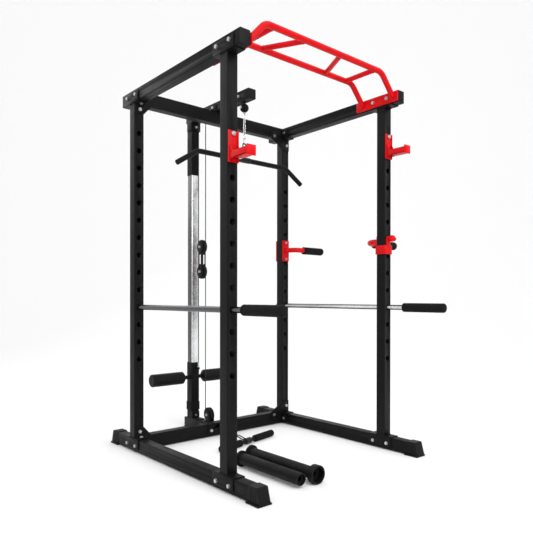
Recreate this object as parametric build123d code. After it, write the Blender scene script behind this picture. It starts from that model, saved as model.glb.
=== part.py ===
from build123d import *
import math
import os

# Power cage with a multi-grip pull-up bar, a lat and low-row tower, safety bars, J-hooks and dip handles.
# Millimetres, +Z up, floor at Z = 0. Lengths are first laid out about the cage: X = 0 is its centre plane,
# Y = 0 the front face of the front uprights. Every solid is then moved so that the origin is the
# middle of the bounding box on the floor.

# ---- driving dimensions -------------------------------------------------------------------------
CAGE_W = 1220.0          # over the outer faces of the uprights
CAGE_D = 965.0           # front face of the front uprights to rear face of the rear uprights
TUBE = 60.0              # square tube of the uprights and of the lat tower
WALL = 3.0
RAIL_H = 70.0            # height of the base rails and of the top side beams
PAD_H = 6.0              # foot pads under the rails
RAIL_FRONT = -205.0      # front end of the base rails
BEAM_FRONT = -89.0       # front end of the top side beams
BEAM_Z = 2041.0          # underside of the top side beams
CROSS_H = 80.0           # height of both rear cross beams
PLATE = 5.0              # thickness of saddles and gussets
HOLE_PITCH = 101.6        # four inches
HOLE_FIRST = 540.0       # height of the lowest adjusting hole
HOLE_COUNT = {"front_left": 12, "front_right": 14, "rear_left": 14, "rear_right": 12}
HOLE_R = 15.5
SADDLE_L = 160.0
BOLT_SPACING = 100.0     # the two bolts of a saddle
BOLT_R = 5.0

SAFETY_Z = HOLE_FIRST + 3 * HOLE_PITCH
SAFETY_R = 15.0
GRIP_R = 26.0

HOOK_LEFT_Z = HOLE_FIRST + 11 * HOLE_PITCH     # hole that each J-hook hangs in
HOOK_RIGHT_Z = HOLE_FIRST + 13 * HOLE_PITCH
HOOK_PIN_R = 12.0
DIP_PIN_Z = HOLE_FIRST + 7 * HOLE_PITCH
FLANGE_BOLT_Y = 878.0    # vertical bolt through the foot flange of each left corner gusset

PULLUP_R = 16.0
PULLUP_Z = 2191.0
PULLUP_FRONT_Y = -62.0
PULLUP_REAR_Y = 160.0

DIP_R = 17.0
DIP_Z = 1240.0
DIP_GRIP_R = 26.0

MAST_Y = 1222.0          # centre of the lat tower's mast
LAT_FRONT_Y = 577.0      # front end of the tower's top beam
LAT_BAR_Y = 648.0
LAT_BAR_Z = 1750.0
GUIDE = 56.0             # square guide tube that the weight carriage slides on
LAT_STOP_Z = 2071.0      # rubber ball that stops the lat cable under the beam
CABLE_R = 3.0
PULLEY_R = 47.5
PITCH_R = 42.5           # cable centre line on a large pulley
SMALL_R = 24.0
SMALL_PITCH = 19.0       # cable centre line on the small pulleys inside the top beam
BLOCK_Y = 1112.0         # floating pulley block
BLOCK_LOW_Z = 1077.0
BLOCK_HIGH_Z = 1246.0
LOW_PULLEY_Y = 1027.0
LOW_PULLEY_Z = 117.0
CARRIAGE_Z = 180.0
CARRIAGE_H = 272.0
HORN_Z = 350.0
HORN_SLEEVE_R = 42.0
ROW_BAR_Y = 617.0
ROW_BAR_Z = 21.0
ROW_BAR_YAW = 13.0       # degrees, left end forward

UP_X = (CAGE_W - TUBE) / 2
UP_Y = (TUBE / 2, CAGE_D - TUBE / 2)
RAIL_BACK = CAGE_D - RAIL_FRONT
BEAM_BACK = CAGE_D - BEAM_FRONT
RAIL_TOP = PAD_H + RAIL_H
BEAM_TOP = BEAM_Z + RAIL_H
Z_SUM = BEAM_TOP + PAD_H              # the top corners mirror the bottom ones
GUSSET_BEAM_BOLT = (470.0, 73.0)     # x and z of the right gusset's bolt into the cross beam
GUSSET_POST_BOLT = {-1: (578.0, 116.0), 1: (585.0, 124.0)}
LAT_Z = BEAM_TOP + TUBE / 2          # axis of the tower's top beam, which lies on the rear cross beam
FRAME_ORIGIN = Vector(-123.5, -451.0, 0.0)

nodes = {}


# ---- helpers ------------------------------------------------------------------------------------
def block(x0, x1, y0, y1, z0, z1):
    return Pos((x0 + x1) / 2, (y0 + y1) / 2, (z0 + z1) / 2) * Box(x1 - x0, y1 - y0, z1 - z0)


def rod_x(radius, x0, x1, y, z):
    return Pos((x0 + x1) / 2, y, z) * Rot(0, 90, 0) * Cylinder(radius, x1 - x0)


def rod_y(radius, y0, y1, x, z):
    return Pos(x, (y0 + y1) / 2, z) * Rot(90, 0, 0) * Cylinder(radius, y1 - y0)


def rod_z(radius, z0, z1, x, y):
    return Pos(x, y, (z0 + z1) / 2) * Cylinder(radius, z1 - z0)


def softened(shape, axis, radius):
    """Round the long edges of a tube, the ones along the given axis."""
    return fillet(shape.edges().filter_by(axis), radius)


def tube_along(axis, x0, x1, y0, y1, z0, z1, wall=WALL, radius=4.0):
    """Rectangular tube, open at both ends along the axis."""
    outer = softened(block(x0, x1, y0, y1, z0, z1), axis, radius)
    grow = {Axis.X: (1, 0, 0), Axis.Y: (0, 1, 0), Axis.Z: (0, 0, 1)}[axis]
    dx, dy, dz = [-1.0 if g else wall for g in grow]
    inner = block(x0 + dx, x1 - dx, y0 + dy, y1 - dy, z0 + dz, z1 - dz)
    return outer - softened(inner, axis, max(radius - wall, 0.8))


def plate_xz(points, y0, y1):
    """Flat plate with its outline in the XZ plane, between y0 and y1."""
    face = make_face(Polyline(*[(x, y0, z) for x, z in points], close=True))
    return extrude(face, amount=y1 - y0, dir=(0, 1, 0))


def plate_yz(points, x0, x1):
    """Flat plate with its outline in the YZ plane, between x0 and x1."""
    face = make_face(Polyline(*[(x0, y, z) for y, z in points], close=True))
    return extrude(face, amount=x1 - x0, dir=(1, 0, 0))


def swept(points, radii, radius, hole=0.0):
    """Round bar or tube along straight runs joined by tangent arcs."""
    if len(points) == 2:
        path = Line(*points)
    else:
        path = FilletPolyline(*points, radius=radii)
    start = Plane(origin=path @ 0, z_dir=path % 0)
    body = sweep(start * Circle(radius), path=path)
    if hole:
        body = body - sweep(start * Circle(hole), path=path)
    return body


def bolt(axis, side, x, y, z, grip, radius=BOLT_R, nut=False):
    """Hexagon bolt: head outside the face, shank inwards. side is +1 when the head faces +axis.
    With a nut, grip is the thickness clamped between head and nut."""
    head_h = radius * 1.3
    flat = radius * 1.75
    head = Pos(0, 0, head_h / 2 + 1.5) * extrude(RegularPolygon(flat, 6), amount=head_h / 2, both=True)
    washer = Pos(0, 0, 0.75) * Cylinder(radius * 2.0, 1.5)
    shank = Pos(0, 0, -grip / 2) * Cylinder(radius, grip)
    if nut:
        shank += Pos(0, 0, -grip - head_h / 2) * extrude(RegularPolygon(flat, 6), amount=head_h / 2, both=True)
        shank += Pos(0, 0, -grip - head_h) * Cylinder(radius, 8.0)
    turn = {"x": Rot(0, 90 * side, 0), "y": Rot(-90 * side, 0, 0), "z": Rot(0, 0 if side > 0 else 180, 0)}
    return Pos(x, y, z) * turn[axis] * (head + washer + shank)


def solids(*shapes):
    """Several separate solids kept in one node."""
    out = []
    for shape in shapes:
        out += shape.solids()
    return Compound(children=out)


# ---- base, uprights and beams -------------------------------------------------------------------
def upright(x, y, holes):
    z0 = RAIL_TOP + PLATE
    half = TUBE / 2
    post = tube_along(Axis.Z, x - half, x + half, y - half, y + half, z0, BEAM_Z - PLATE)
    for k in range(holes):
        post -= rod_y(HOLE_R, y - half - 1, y + half + 1, x, HOLE_FIRST + k * HOLE_PITCH)
    return post


def saddle(x, y, top):
    """Bent U-plate over a rail, welded to the upright's end; the two bolts pass through its sides."""
    face = BEAM_Z if top else RAIL_TOP
    up = -1 if top else 1
    z_low, z_high = sorted((face - up * 56, face + up * PLATE))
    half = TUBE / 2
    outer = block(x - half - PLATE, x + half + PLATE, y - SADDLE_L / 2, y + SADDLE_L / 2, z_low, z_high)
    cut_low, cut_high = sorted((face - up * 80, face))
    u_plate = outer - block(x - half, x + half, y - SADDLE_L, y + SADDLE_L, cut_low, cut_high)
    corner = u_plate.edges().filter_by(Axis.Y).group_by(Axis.Z)[0 if top else -1]
    u_plate = fillet(corner, 3.0)
    z = face - up * 35
    for dy in (-BOLT_SPACING / 2, BOLT_SPACING / 2):
        u_plate -= rod_x(BOLT_R + 0.5, x - 60, x + 60, y + dy, z)
    if x < 0:
        u_plate -= rod_z(BOLT_R + 0.5, face - 10, face + 10, x, FLANGE_BOLT_Y)
    return u_plate


def foot_cap(side, end):
    """Slanted plastic shoe over a rail end; end is -1 at the front and +1 at the rear."""
    x = side * UP_X
    mid = CAGE_D / 2
    ends = [(mid + end * (mid - v)) for v in (-145.0, -237.0, -215.0, -157.0)]
    heights = (0.0, 0.0, RAIL_TOP + 4, RAIL_TOP + 4)
    shoe = plate_yz(list(zip(ends, heights)), x - 32, x + 32)
    y_low, y_high = sorted((ends[0], ends[1]))
    sole = block(x - 40, x + 40, y_low + 2, y_high - 2, 0, 9)
    pocket_end = mid + end * (mid - RAIL_FRONT)
    p_low, p_high = sorted((pocket_end, ends[0] - end * 60))
    pocket = block(x - TUBE / 2, x + TUBE / 2, p_low, p_high, PAD_H, RAIL_TOP)
    return (shoe + sole) - pocket


def build_frame():
    half = TUBE / 2
    for name, side in (("left", -1), ("right", 1)):
        x = side * UP_X
        rail = tube_along(Axis.Y, x - half, x + half, RAIL_FRONT, RAIL_BACK, PAD_H, RAIL_TOP)
        beam = tube_along(Axis.Y, x - half, x + half, BEAM_FRONT, BEAM_BACK, BEAM_Z, BEAM_TOP)
        for y in UP_Y:
            for dy in (-BOLT_SPACING / 2, BOLT_SPACING / 2):
                rail -= rod_x(BOLT_R + 0.5, x - 60, x + 60, y + dy, RAIL_TOP - 35)
                beam -= rod_x(BOLT_R + 0.5, x - 60, x + 60, y + dy, BEAM_Z + 35)
        if side < 0:
            rail -= rod_z(BOLT_R + 0.5, RAIL_TOP - 8, RAIL_TOP + 8, x, FLANGE_BOLT_Y)
            beam -= rod_z(BOLT_R + 0.5, BEAM_Z - 8, BEAM_Z + 8, x, FLANGE_BOLT_Y)
        nodes["base_rail_" + name] = rail
        nodes["top_side_beam_" + name] = beam
        nodes["upright_front_" + name] = upright(x, UP_Y[0], HOLE_COUNT["front_" + name])
        nodes["upright_rear_" + name] = upright(x, UP_Y[1], HOLE_COUNT["rear_" + name])
    corners = [(side * UP_X, y) for side in (-1, 1) for y in UP_Y]
    nodes["upright_saddles"] = solids(*[saddle(x, y, top) for x, y in corners for top in (False, True)])
    pad = block(-35, 35, MAST_Y - 10, MAST_Y + 61, 0, PAD_H)
    nodes["foot_caps"] = solids(pad, *[foot_cap(side, end) for side in (-1, 1) for end in (-1, 1)])


def cross_beam(z0):
    """Rear cross beam with a welded plate at each end."""
    reach = UP_X - TUBE / 2 - PLATE
    y0 = CAGE_D - TUBE
    beam = tube_along(Axis.X, -reach + PLATE, reach - PLATE, y0, CAGE_D, z0, z0 + CROSS_H)
    for side in (-1, 1):
        x0, x1 = sorted((side * (reach - PLATE), side * reach))
        beam += block(x0, x1, y0, CAGE_D, z0, z0 + CROSS_H)
    return beam


def build_cross_beams():
    low = cross_beam(PAD_H)
    y0 = CAGE_D - TUBE
    slot_z = LOW_PULLEY_Z - PITCH_R
    low -= block(-9, 9, y0 - 5, CAGE_D + 5, slot_z - 7, slot_z + 7)
    high = cross_beam(BEAM_TOP - CROSS_H)
    for side in (-1, 1):
        low -= rod_y(BOLT_R + 0.5, y0 - 5, y0 + 10, side * 70, 44)
    low -= rod_y(BOLT_R + 0.5, y0 - 5, y0 + 10, GUSSET_BEAM_BOLT[0], GUSSET_BEAM_BOLT[1])
    high -= rod_y(BOLT_R + 0.5, y0 - 5, y0 + 10, GUSSET_BEAM_BOLT[0], Z_SUM - GUSSET_BEAM_BOLT[1])
    nodes["rear_cross_beam_bottom"] = low
    nodes["rear_cross_beam_top"] = high


def gusset(side, top):
    """Corner plate on the front of a rear upright, reaching over the cross beam. The left ones are
    smaller and have a foot flange that is bolted down on the rail."""
    outline = {1: [(608, 160), (556, 160), (440, 92), (440, 50), (545, 20), (608, 20)],
               -1: [(606, 140), (552, 140), (505, 88), (505, 30), (606, 30)]}[side]
    outline = [(side * x, Z_SUM - z if top else z) for x, z in outline]
    y0 = CAGE_D - TUBE - PLATE
    plate = plate_xz(outline, y0, y0 + PLATE)
    cut_z = RAIL_TOP + PLATE if not top else BEAM_Z - PLATE
    z_low, z_high = (0, cut_z) if not top else (cut_z, BEAM_TOP + 40)
    x_low, x_high = sorted((side * (UP_X - TUBE / 2 - PLATE - 1), side * 640))
    plate -= block(x_low, x_high, y0 - 5, y0 + 20, z_low, z_high)
    x, z = GUSSET_POST_BOLT[side]
    plate -= rod_y(BOLT_R + 0.5, y0 - 5, y0 + 10, side * x, Z_SUM - z if top else z)
    if side > 0:
        x, z = GUSSET_BEAM_BOLT
        plate -= rod_y(BOLT_R + 0.5, y0 - 5, y0 + 10, x, Z_SUM - z if top else z)
    else:
        z0, z1 = sorted((cut_z, cut_z + (-PLATE if top else PLATE)))
        plate += block(-606, -554, y0 - 36, y0 + 1, z0, z1)
        plate -= rod_z(BOLT_R + 0.5, z0 - 2, z1 + 2, -UP_X, FLANGE_BOLT_Y)
    return plate


def build_gussets():
    pairs = [(side, top) for side in (-1, 1) for top in (False, True)]
    nodes["corner_gussets"] = solids(*[gusset(side, top) for side, top in pairs])
    y0 = CAGE_D - TUBE - PLATE
    bolts = []
    for side, top in pairs:
        x, z = GUSSET_POST_BOLT[side]
        zz = Z_SUM - z if top else z
        bolts.append(bolt("y", -1, side * x, y0, zz, 9.0))
        post = "upright_rear_left" if side < 0 else "upright_rear_right"
        nodes[post] -= rod_y(BOLT_R + 0.5, y0 - 5, y0 + 12, side * x, zz)
        if side > 0:
            x, z = GUSSET_BEAM_BOLT
            bolts.append(bolt("y", -1, x, y0, Z_SUM - z if top else z, 9.0))
        else:
            seat = BEAM_Z - 2 * PLATE if top else RAIL_TOP + 2 * PLATE
            bolts.append(bolt("z", -1 if top else 1, -UP_X, FLANGE_BOLT_Y, seat, 2 * PLATE + 5))
    nodes["frame_bolts"] = solids(*bolts)


def build_saddle_bolts():
    bolts = []
    for side in (-1, 1):
        for y in UP_Y:
            for dy in (-BOLT_SPACING / 2, BOLT_SPACING / 2):
                x_out = side * (CAGE_W / 2 + PLATE)
                clamped = TUBE + 2 * PLATE
                bolts.append(bolt("x", side, x_out, y + dy, RAIL_TOP - 35, clamped, nut=True))
                if y == UP_Y[0]:
                    clamped += PLATE
                bolts.append(bolt("x", side, x_out, y + dy, BEAM_Z + 35, clamped, nut=True))
    nodes["frame_bolts"] = solids(nodes["frame_bolts"], *bolts)


def build_end_caps():
    caps = []
    half = TUBE / 2
    for side in (-1, 1):
        x = side * UP_X
        for y, end in ((BEAM_FRONT, -1), (BEAM_BACK, 1)):
            y0, y1 = sorted((y, y + end * 3))
            p0, p1 = sorted((y, y - end * 15))
            flange = softened(block(x - half, x + half, y0, y1, BEAM_Z, BEAM_TOP), Axis.Y, 4)
            plug = block(x - half + 3.1, x + half - 3.1, p0, p1, BEAM_Z + 3.1, BEAM_TOP - 3.1)
            caps.append(flange + softened(plug, Axis.Y, 1.5))
    tower_caps = ((LAT_FRONT_Y - 3, BEAM_TOP), (MAST_Y + 40, BEAM_TOP), (MAST_Y + 61, PAD_H))
    for y0, z0 in tower_caps:
        caps.append(softened(block(-half, half, y0, y0 + 3, z0, z0 + TUBE), Axis.Y, 4))
    nodes["tube_end_caps"] = solids(*caps)


# ---- pull-up bar --------------------------------------------------------------------------------
def build_pullup_bar():
    x_in = CAGE_W / 2 - TUBE - PLATE         # inner face of the top saddles
    plate_x = x_in - PLATE
    foot_z = BEAM_Z + 35
    flat_x = plate_x - 105

    def main_tube(y):
        points = [(-plate_x, y, foot_z), (-flat_x, y, PULLUP_Z), (flat_x, y, PULLUP_Z), (plate_x, y, foot_z)]
        return swept(points, 70.0, PULLUP_R)

    front = main_tube(PULLUP_FRONT_Y)
    rear = main_tube(PULLUP_REAR_Y)
    between = block(-plate_x + 0.01, plate_x - 0.01, -400, 400, 1900, 2400)
    front, rear = front & between, rear & between
    rungs = []
    for x_front, x_rear in ((-382, -382), (-162, -278), (92, 208), (382, 382)):
        rung = swept([(x_front, PULLUP_FRONT_Y, PULLUP_Z), (x_rear, PULLUP_REAR_Y, PULLUP_Z)], None, 14.0)
        rungs.append(rung - front - rear)
    plates = []
    for side in (-1, 1):
        x0, x1 = sorted((side * plate_x, side * x_in))
        plate = softened(block(x0, x1, -98, 210, BEAM_Z + 4, BEAM_TOP - 6), Axis.X, 8)
        for dy in (-BOLT_SPACING / 2, BOLT_SPACING / 2):
            plate -= rod_x(BOLT_R + 0.5, x0 - 9, x1 + 9, UP_Y[0] + dy, BEAM_Z + 35)
        plates.append(plate)
    nodes["pullup_tubes"] = solids(front, rear)
    nodes["pullup_rungs"] = solids(*rungs)
    nodes["pullup_end_plates"] = solids(*plates)


# ---- safety bars --------------------------------------------------------------------------------
def build_safety_bars():
    for name, side, grip_front in (("left", -1, -354), ("right", 1, -384)):
        x = side * UP_X
        grip_back = grip_front + 268
        bar = rod_y(SAFETY_R, grip_front + 6, 992, x, SAFETY_Z)
        bar -= rod_y(SAFETY_R - 2.5, grip_front + 12, 990, x, SAFETY_Z)
        grip = rod_y(GRIP_R, grip_front, grip_back, x, SAFETY_Z)
        grip = chamfer(grip.edges().group_by(Axis.Y)[0], 4.0)
        grip = chamfer(grip.edges().group_by(Axis.Y)[-1], 7.0)
        grip -= rod_y(SAFETY_R, grip_front + 6, grip_back + 5, x, SAFETY_Z)
        nodes["safety_bar_" + name] = bar
        nodes["safety_grip_" + name] = grip


# ---- J-hooks ------------------------------------------------------------------------------------
def j_hook(x, hole_z):
    """Back plate, box arm with an upturned lip, and a pin that hangs in an upright's hole."""
    back = softened(block(x - 29, x + 29, -11, -1, hole_z - 133, hole_z + 14), Axis.Y, 3)
    arm = block(x - 25, x + 25, -132, -11, hole_z - 118, hole_z - 85)
    lip = block(x - 25, x + 25, -141, -132, hole_z - 123, hole_z - 76)
    rib = plate_yz([(-11, hole_z - 85), (-11, hole_z - 51), (-30, hole_z - 85)], x - 25, x + 25)
    body = back + arm + lip + rib
    body -= block(x - 21, x + 21, -128, -20, hole_z - 114, hole_z - 89)
    body -= rod_z(4.4, hole_z - 125, hole_z - 112, x, -60)
    body += rod_y(HOOK_PIN_R, -14, 70, x, hole_z)
    return solids(body, bolt("z", -1, x, -60, hole_z - 118, 5.0, 4.0))


def build_j_hooks():
    for name, side, z in (("left", -1, HOOK_LEFT_Z), ("right", 1, HOOK_RIGHT_Z)):
        x = side * UP_X
        nodes["j_hook_" + name] = j_hook(x, z)


# ---- dip handles --------------------------------------------------------------------------------
def build_dip_handles():
    x = UP_X
    face = CAGE_D - TUBE
    z_low, z_high = 1163.0, 1311.0
    bolt_z = (1179.0, 1295.0)
    plate = softened(block(x - 29, x + 29, face - 6, face, z_low, z_high), Axis.Y, 5)
    back = softened(block(x - 33, x + 33, CAGE_D, CAGE_D + 5, z_low, z_high), Axis.Y, 5)
    for z in bolt_z:
        cut = rod_y(4.5, face - 10, CAGE_D + 10, x, z)
        plate -= cut
        back -= cut
        nodes["upright_rear_right"] -= cut
    tube_y = face - 103
    route = [(x, face - 6, DIP_Z), (x, tube_y, DIP_Z), (x + 230, tube_y, DIP_Z - 6)]
    arm = swept(route, 62.0, DIP_R, DIP_R - 2.5)
    nodes["dip_handle_rear"] = solids(plate + arm, back)
    nodes["small_bolts"] = solids(*[bolt("y", -1, x, face - 6, z, TUBE + 11, 4.0, nut=True) for z in bolt_z])
    grip = rod_x(DIP_GRIP_R, x + 78, x + 270, tube_y, DIP_Z - 3)
    grip = fillet(grip.edges().group_by(Axis.X)[-1], 14.0)
    grip = fillet(grip.edges().group_by(Axis.X)[0], 3.0)
    rear_grip = grip - swept(route, 62.0, DIP_R)

    # front handle: a collar round the upright with a tab for the locking pin
    half = TUBE / 2
    collar = softened(block(x - half - 6, x + half + 6, -6, TUBE + 6, 1162, 1214), Axis.Z, 5)
    collar -= softened(block(x - half - 0.5, x + half + 0.5, -0.5, TUBE + 0.5, 1150, 1230), Axis.Z, 4.5)
    tab = plate_xz([(x - 20, 1205), (x + 20, 1205), (x + 20, DIP_PIN_Z), (x + 10, DIP_PIN_Z + 17),
                    (x - 10, DIP_PIN_Z + 17), (x - 20, DIP_PIN_Z)], -6.5, -0.5)
    tab -= rod_y(9.5, -20, 10, x, DIP_PIN_Z)
    strap = block(x - 24, x + 24, TUBE + 0.5, TUBE + 6, 1200, 1270)
    arm_y = TUBE + 105
    route = [(x, TUBE + 6, DIP_Z), (x, arm_y, DIP_Z), (x + 230, arm_y, DIP_Z - 6)]
    arm = swept(route, 62.0, DIP_R, DIP_R - 2.5)
    nodes["dip_handle_front"] = collar + tab + strap + arm
    grip = rod_x(DIP_GRIP_R, x + 78, x + 290, arm_y, DIP_Z - 3)
    grip = fillet(grip.edges().group_by(Axis.X)[-1], 14.0)
    grip = fillet(grip.edges().group_by(Axis.X)[0], 3.0)
    nodes["dip_grips"] = solids(rear_grip, grip - swept(route, 62.0, DIP_R))
    pin = rod_y(9.0, -24, 16, x, DIP_PIN_Z)
    ball = Pos(x, -32, DIP_PIN_Z + 2) * Sphere(20)
    ear = Pos(x + 22, -30, DIP_PIN_Z) * Sphere(13)
    nodes["dip_lock_pin"] = pin + ball + ear


# ---- lat tower ----------------------------------------------------------------------------------
def build_tower():
    half = TUBE / 2
    mast_front = MAST_Y - half
    beam_back = MAST_Y + 40
    beam = tube_along(Axis.Y, -half, half, LAT_FRONT_Y, beam_back, BEAM_TOP, BEAM_TOP + TUBE)
    front_y = LAT_BAR_Y + SMALL_PITCH
    rear_y = BLOCK_Y - PITCH_R - SMALL_PITCH
    beam -= block(-9, 9, LAT_BAR_Y - 14, LAT_BAR_Y + 30, BEAM_TOP - 5, BEAM_TOP + 5)
    beam -= block(-9, 9, rear_y - 5, rear_y + 36, BEAM_TOP - 5, BEAM_TOP + 5)
    for y in (front_y, rear_y):
        beam -= rod_x(4.0, -50, 50, y, LAT_Z)
    beam -= rod_z(4.5, BEAM_TOP - 5, BEAM_TOP + 5, 0, BLOCK_Y + PITCH_R)
    nodes["lat_top_beam"] = beam

    mast_low = 1747.0
    foot_top = 124.0
    g = GUIDE / 2
    thin = 2.0                       # the guide telescopes into these two
    nodes["lat_mast"] = tube_along(Axis.Z, -half, half, mast_front, MAST_Y + half, mast_low, BEAM_TOP, thin, 3.5)
    nodes["lat_guide"] = tube_along(Axis.Z, -g, g, MAST_Y - g, MAST_Y + g, foot_top - 50, mast_low + 60, radius=6.0)
    base = tube_along(Axis.Y, -half, half, CAGE_D, MAST_Y + 61, PAD_H, PAD_H + TUBE)
    foot = tube_along(Axis.Z, -half, half, mast_front, MAST_Y + half, PAD_H + TUBE, foot_top, thin, 3.5)
    nodes["lat_base_beam"] = base + foot

    # L-brackets that tie the mast to both beams, and the bolts through them
    low_l = block(-half, half, mast_front - PLATE, mast_front, PAD_H + TUBE, PAD_H + TUBE + 46)
    low_l += block(-half, half, mast_front - 70, mast_front - PLATE, PAD_H + TUBE, PAD_H + TUBE + PLATE)
    wide = half + 6.0                # the upper bracket also clasps the sides of the mast
    high_l = block(-wide, wide, mast_front - PLATE, mast_front, BEAM_TOP - 60, BEAM_TOP)
    for side in (-1, 1):
        x0, x1 = sorted((side * half, side * wide))
        high_l += block(x0, x1, mast_front - 1, MAST_Y + 22, BEAM_TOP - 60, BEAM_TOP)
    high_l += block(-half, half, mast_front - 62, mast_front - PLATE, BEAM_TOP - PLATE, BEAM_TOP)
    high_l -= rod_z(12.0, BEAM_TOP - 20, BEAM_TOP + 20, 0, BLOCK_Y + PITCH_R)
    side_plates = []
    for side in (-1, 1):
        x0, x1 = sorted((side * half, side * (half + PLATE)))
        side_plates.append(block(x0, x1, CAGE_D - 60, CAGE_D - 1, BEAM_TOP, BEAM_TOP + 44))
        foot0, foot1 = sorted((side * (half + PLATE), side * (half + 40)))
        side_plates[-1] += block(foot0, foot1, CAGE_D - 60, CAGE_D - 1, BEAM_TOP, BEAM_TOP + PLATE)
    low_l -= rod_y(4.4, mast_front - 12, mast_front + 5, 0, PAD_H + TUBE + 22)
    high_l -= rod_y(4.4, mast_front - 12, mast_front + 5, 0, BEAM_TOP - 34)
    tower_bolts = [bolt("y", -1, 0, mast_front - PLATE, PAD_H + TUBE + 22, 6.9, 4.0),
                   bolt("y", -1, 0, mast_front - PLATE, BEAM_TOP - 34, 6.9, 4.0),
                   bolt("x", -1, -half, 1052, 46, 2.5, 4.0), bolt("x", 1, half, 1052, 46, 2.5, 4.0)]
    for side in (-1, 1):
        x = side * (half + PLATE)
        tower_bolts.append(bolt("x", side, x, CAGE_D - 30, BEAM_TOP + 28, PLATE + 2.5, 4.0))
        tower_bolts.append(bolt("z", 1, side * (half + 24), CAGE_D - 30, BEAM_TOP + PLATE, PLATE + 2.5, 4.0))
    nodes["lat_base_beam"] -= rod_y(4.4, mast_front - 12, mast_front + 2.1, 0, PAD_H + TUBE + 22)
    nodes["lat_mast"] -= rod_y(4.4, mast_front - 12, mast_front + 2.1, 0, BEAM_TOP - 34)
    for side in (-1, 1):
        flank = rod_x(4.4, side * 45 - 20, side * 45 + 20, CAGE_D - 30, BEAM_TOP + 28)
        nodes["lat_top_beam"] -= flank
        nodes["lat_base_beam"] -= rod_x(4.4, side * 45 - 20, side * 45 + 20, 1052, 46)
        down = rod_z(4.4, BEAM_TOP - 5, BEAM_TOP + 12, side * (half + 24), CAGE_D - 30)
        side_plates = [plate - flank - down for plate in side_plates]
        nodes["rear_cross_beam_top"] -= down
    nodes["tower_brackets"] = solids(low_l, high_l, *side_plates)
    nodes["small_bolts"] = solids(nodes["small_bolts"], *tower_bolts)


def pulley(y, z, radius, pitch, width):
    """Nylon pulley with a round groove, a bore and a hub that stands proud of the rim."""
    wheel = rod_x(radius, -width / 2, width / 2, y, z)
    wheel = chamfer(wheel.edges(), 1.0)
    ring = Pos(0, y, z) * Rot(0, 90, 0) * Torus(pitch + 0.5, CABLE_R + 1.0)
    flare = rod_x(radius + 2, -3.6, 3.6, y, z) - rod_x(pitch + 1.0, -4, 4, y, z)
    wheel = wheel - ring - flare
    if radius > 30:
        recess = rod_x(pitch - 9, width / 2 - 3, width, y, z) - rod_x(14, 0, width, y, z)
        wheel = wheel - recess - mirror(recess, Plane.YZ)
    return wheel - rod_x(4.5, -width, width, y, z)


def oblong_yz(y0, z0, y1, z1, radius, x0, x1):
    """Plate with two round ends, its axis from (y0, z0) to (y1, z1)."""
    length = math.hypot(y1 - y0, z1 - z0)
    angle = math.degrees(math.atan2(z1 - z0, y1 - y0))
    bar = Pos(0, (y0 + y1) / 2, (z0 + z1) / 2) * Rot(angle, 0, 0) * Box(x1 - x0, length, 2 * radius)
    bar = Pos((x0 + x1) / 2, 0, 0) * bar
    return bar + rod_x(radius, x0, x1, y0, z0) + rod_x(radius, x0, x1, y1, z1)


def build_pulleys():
    front_y = LAT_BAR_Y + SMALL_PITCH
    rear_y = BLOCK_Y - PITCH_R - SMALL_PITCH
    nodes["top_pulley_front"] = pulley(front_y, LAT_Z, SMALL_R, SMALL_PITCH, 14)
    nodes["top_pulley_rear"] = pulley(rear_y, LAT_Z, SMALL_R, SMALL_PITCH, 14)
    nodes["low_pulley"] = pulley(LOW_PULLEY_Y, LOW_PULLEY_Z, PULLEY_R, PITCH_R, 22)
    nodes["block_pulley_upper"] = pulley(BLOCK_Y, BLOCK_HIGH_Z, PULLEY_R, PITCH_R, 22)
    nodes["block_pulley_lower"] = pulley(BLOCK_Y, BLOCK_LOW_Z, PULLEY_R, PITCH_R, 22)
    axles = []
    for y in (front_y, rear_y):
        axles.append(bolt("x", -1, -TUBE / 2, y, LAT_Z, TUBE + 8, 3.9))
    axles.append(bolt("x", -1, -17, LOW_PULLEY_Y, LOW_PULLEY_Z, 42, 4.4))
    nodes["pulley_axles"] = solids(*axles)

    cheeks = []
    dogbones = []
    for side in (-1, 1):
        x0, x1 = sorted((side * 13, side * 17))
        cheek = oblong_yz(LOW_PULLEY_Y, LOW_PULLEY_Z, LOW_PULLEY_Y - 8, 84, 27, x0, x1)
        cheek &= block(-40, 40, CAGE_D, 1200, PAD_H + TUBE, 200)
        cheeks.append(cheek - rod_x(4.5, -40, 40, LOW_PULLEY_Y, LOW_PULLEY_Z))
        bone = oblong_yz(BLOCK_Y, BLOCK_LOW_Z, BLOCK_Y, BLOCK_HIGH_Z, 20, x0, x1)
        for z in (BLOCK_LOW_Z, BLOCK_HIGH_Z):
            bone += rod_x(36, x0, x1, BLOCK_Y, z)
        slot = block(-40, 40, BLOCK_Y - 9, BLOCK_Y + 9, BLOCK_LOW_Z + 52, BLOCK_HIGH_Z - 52)
        bone -= softened(slot, Axis.X, 6)
        for z in (BLOCK_LOW_Z, BLOCK_HIGH_Z):
            bone -= rod_x(4.5, -40, 40, BLOCK_Y, z)
        dogbones.append(bone)
    nodes["block_plates"] = solids(*dogbones)
    bolts = [bolt("x", -1, -17, BLOCK_Y, z, 42, 4.4) for z in (BLOCK_LOW_Z, BLOCK_HIGH_Z)]
    nodes["block_bolts"] = solids(*bolts)
    y0 = CAGE_D - TUBE
    slot_z = LOW_PULLEY_Z - PITCH_R
    guard = block(-92, 92, y0 - PLATE, y0, 12, 82)
    guard -= block(-9, 9, y0 - 20, y0 + 5, slot_z - 7, slot_z + 7)
    bolts = []
    for side in (-1, 1):
        guard -= rod_y(BOLT_R + 0.5, y0 - 20, y0 + 5, side * 70, 44)
        bolts.append(bolt("y", -1, side * 70, y0 - PLATE, 44, 9.0))
    nodes["tower_brackets"] = solids(nodes["tower_brackets"], guard, *cheeks)
    nodes["frame_bolts"] = solids(nodes["frame_bolts"], *bolts)


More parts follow.
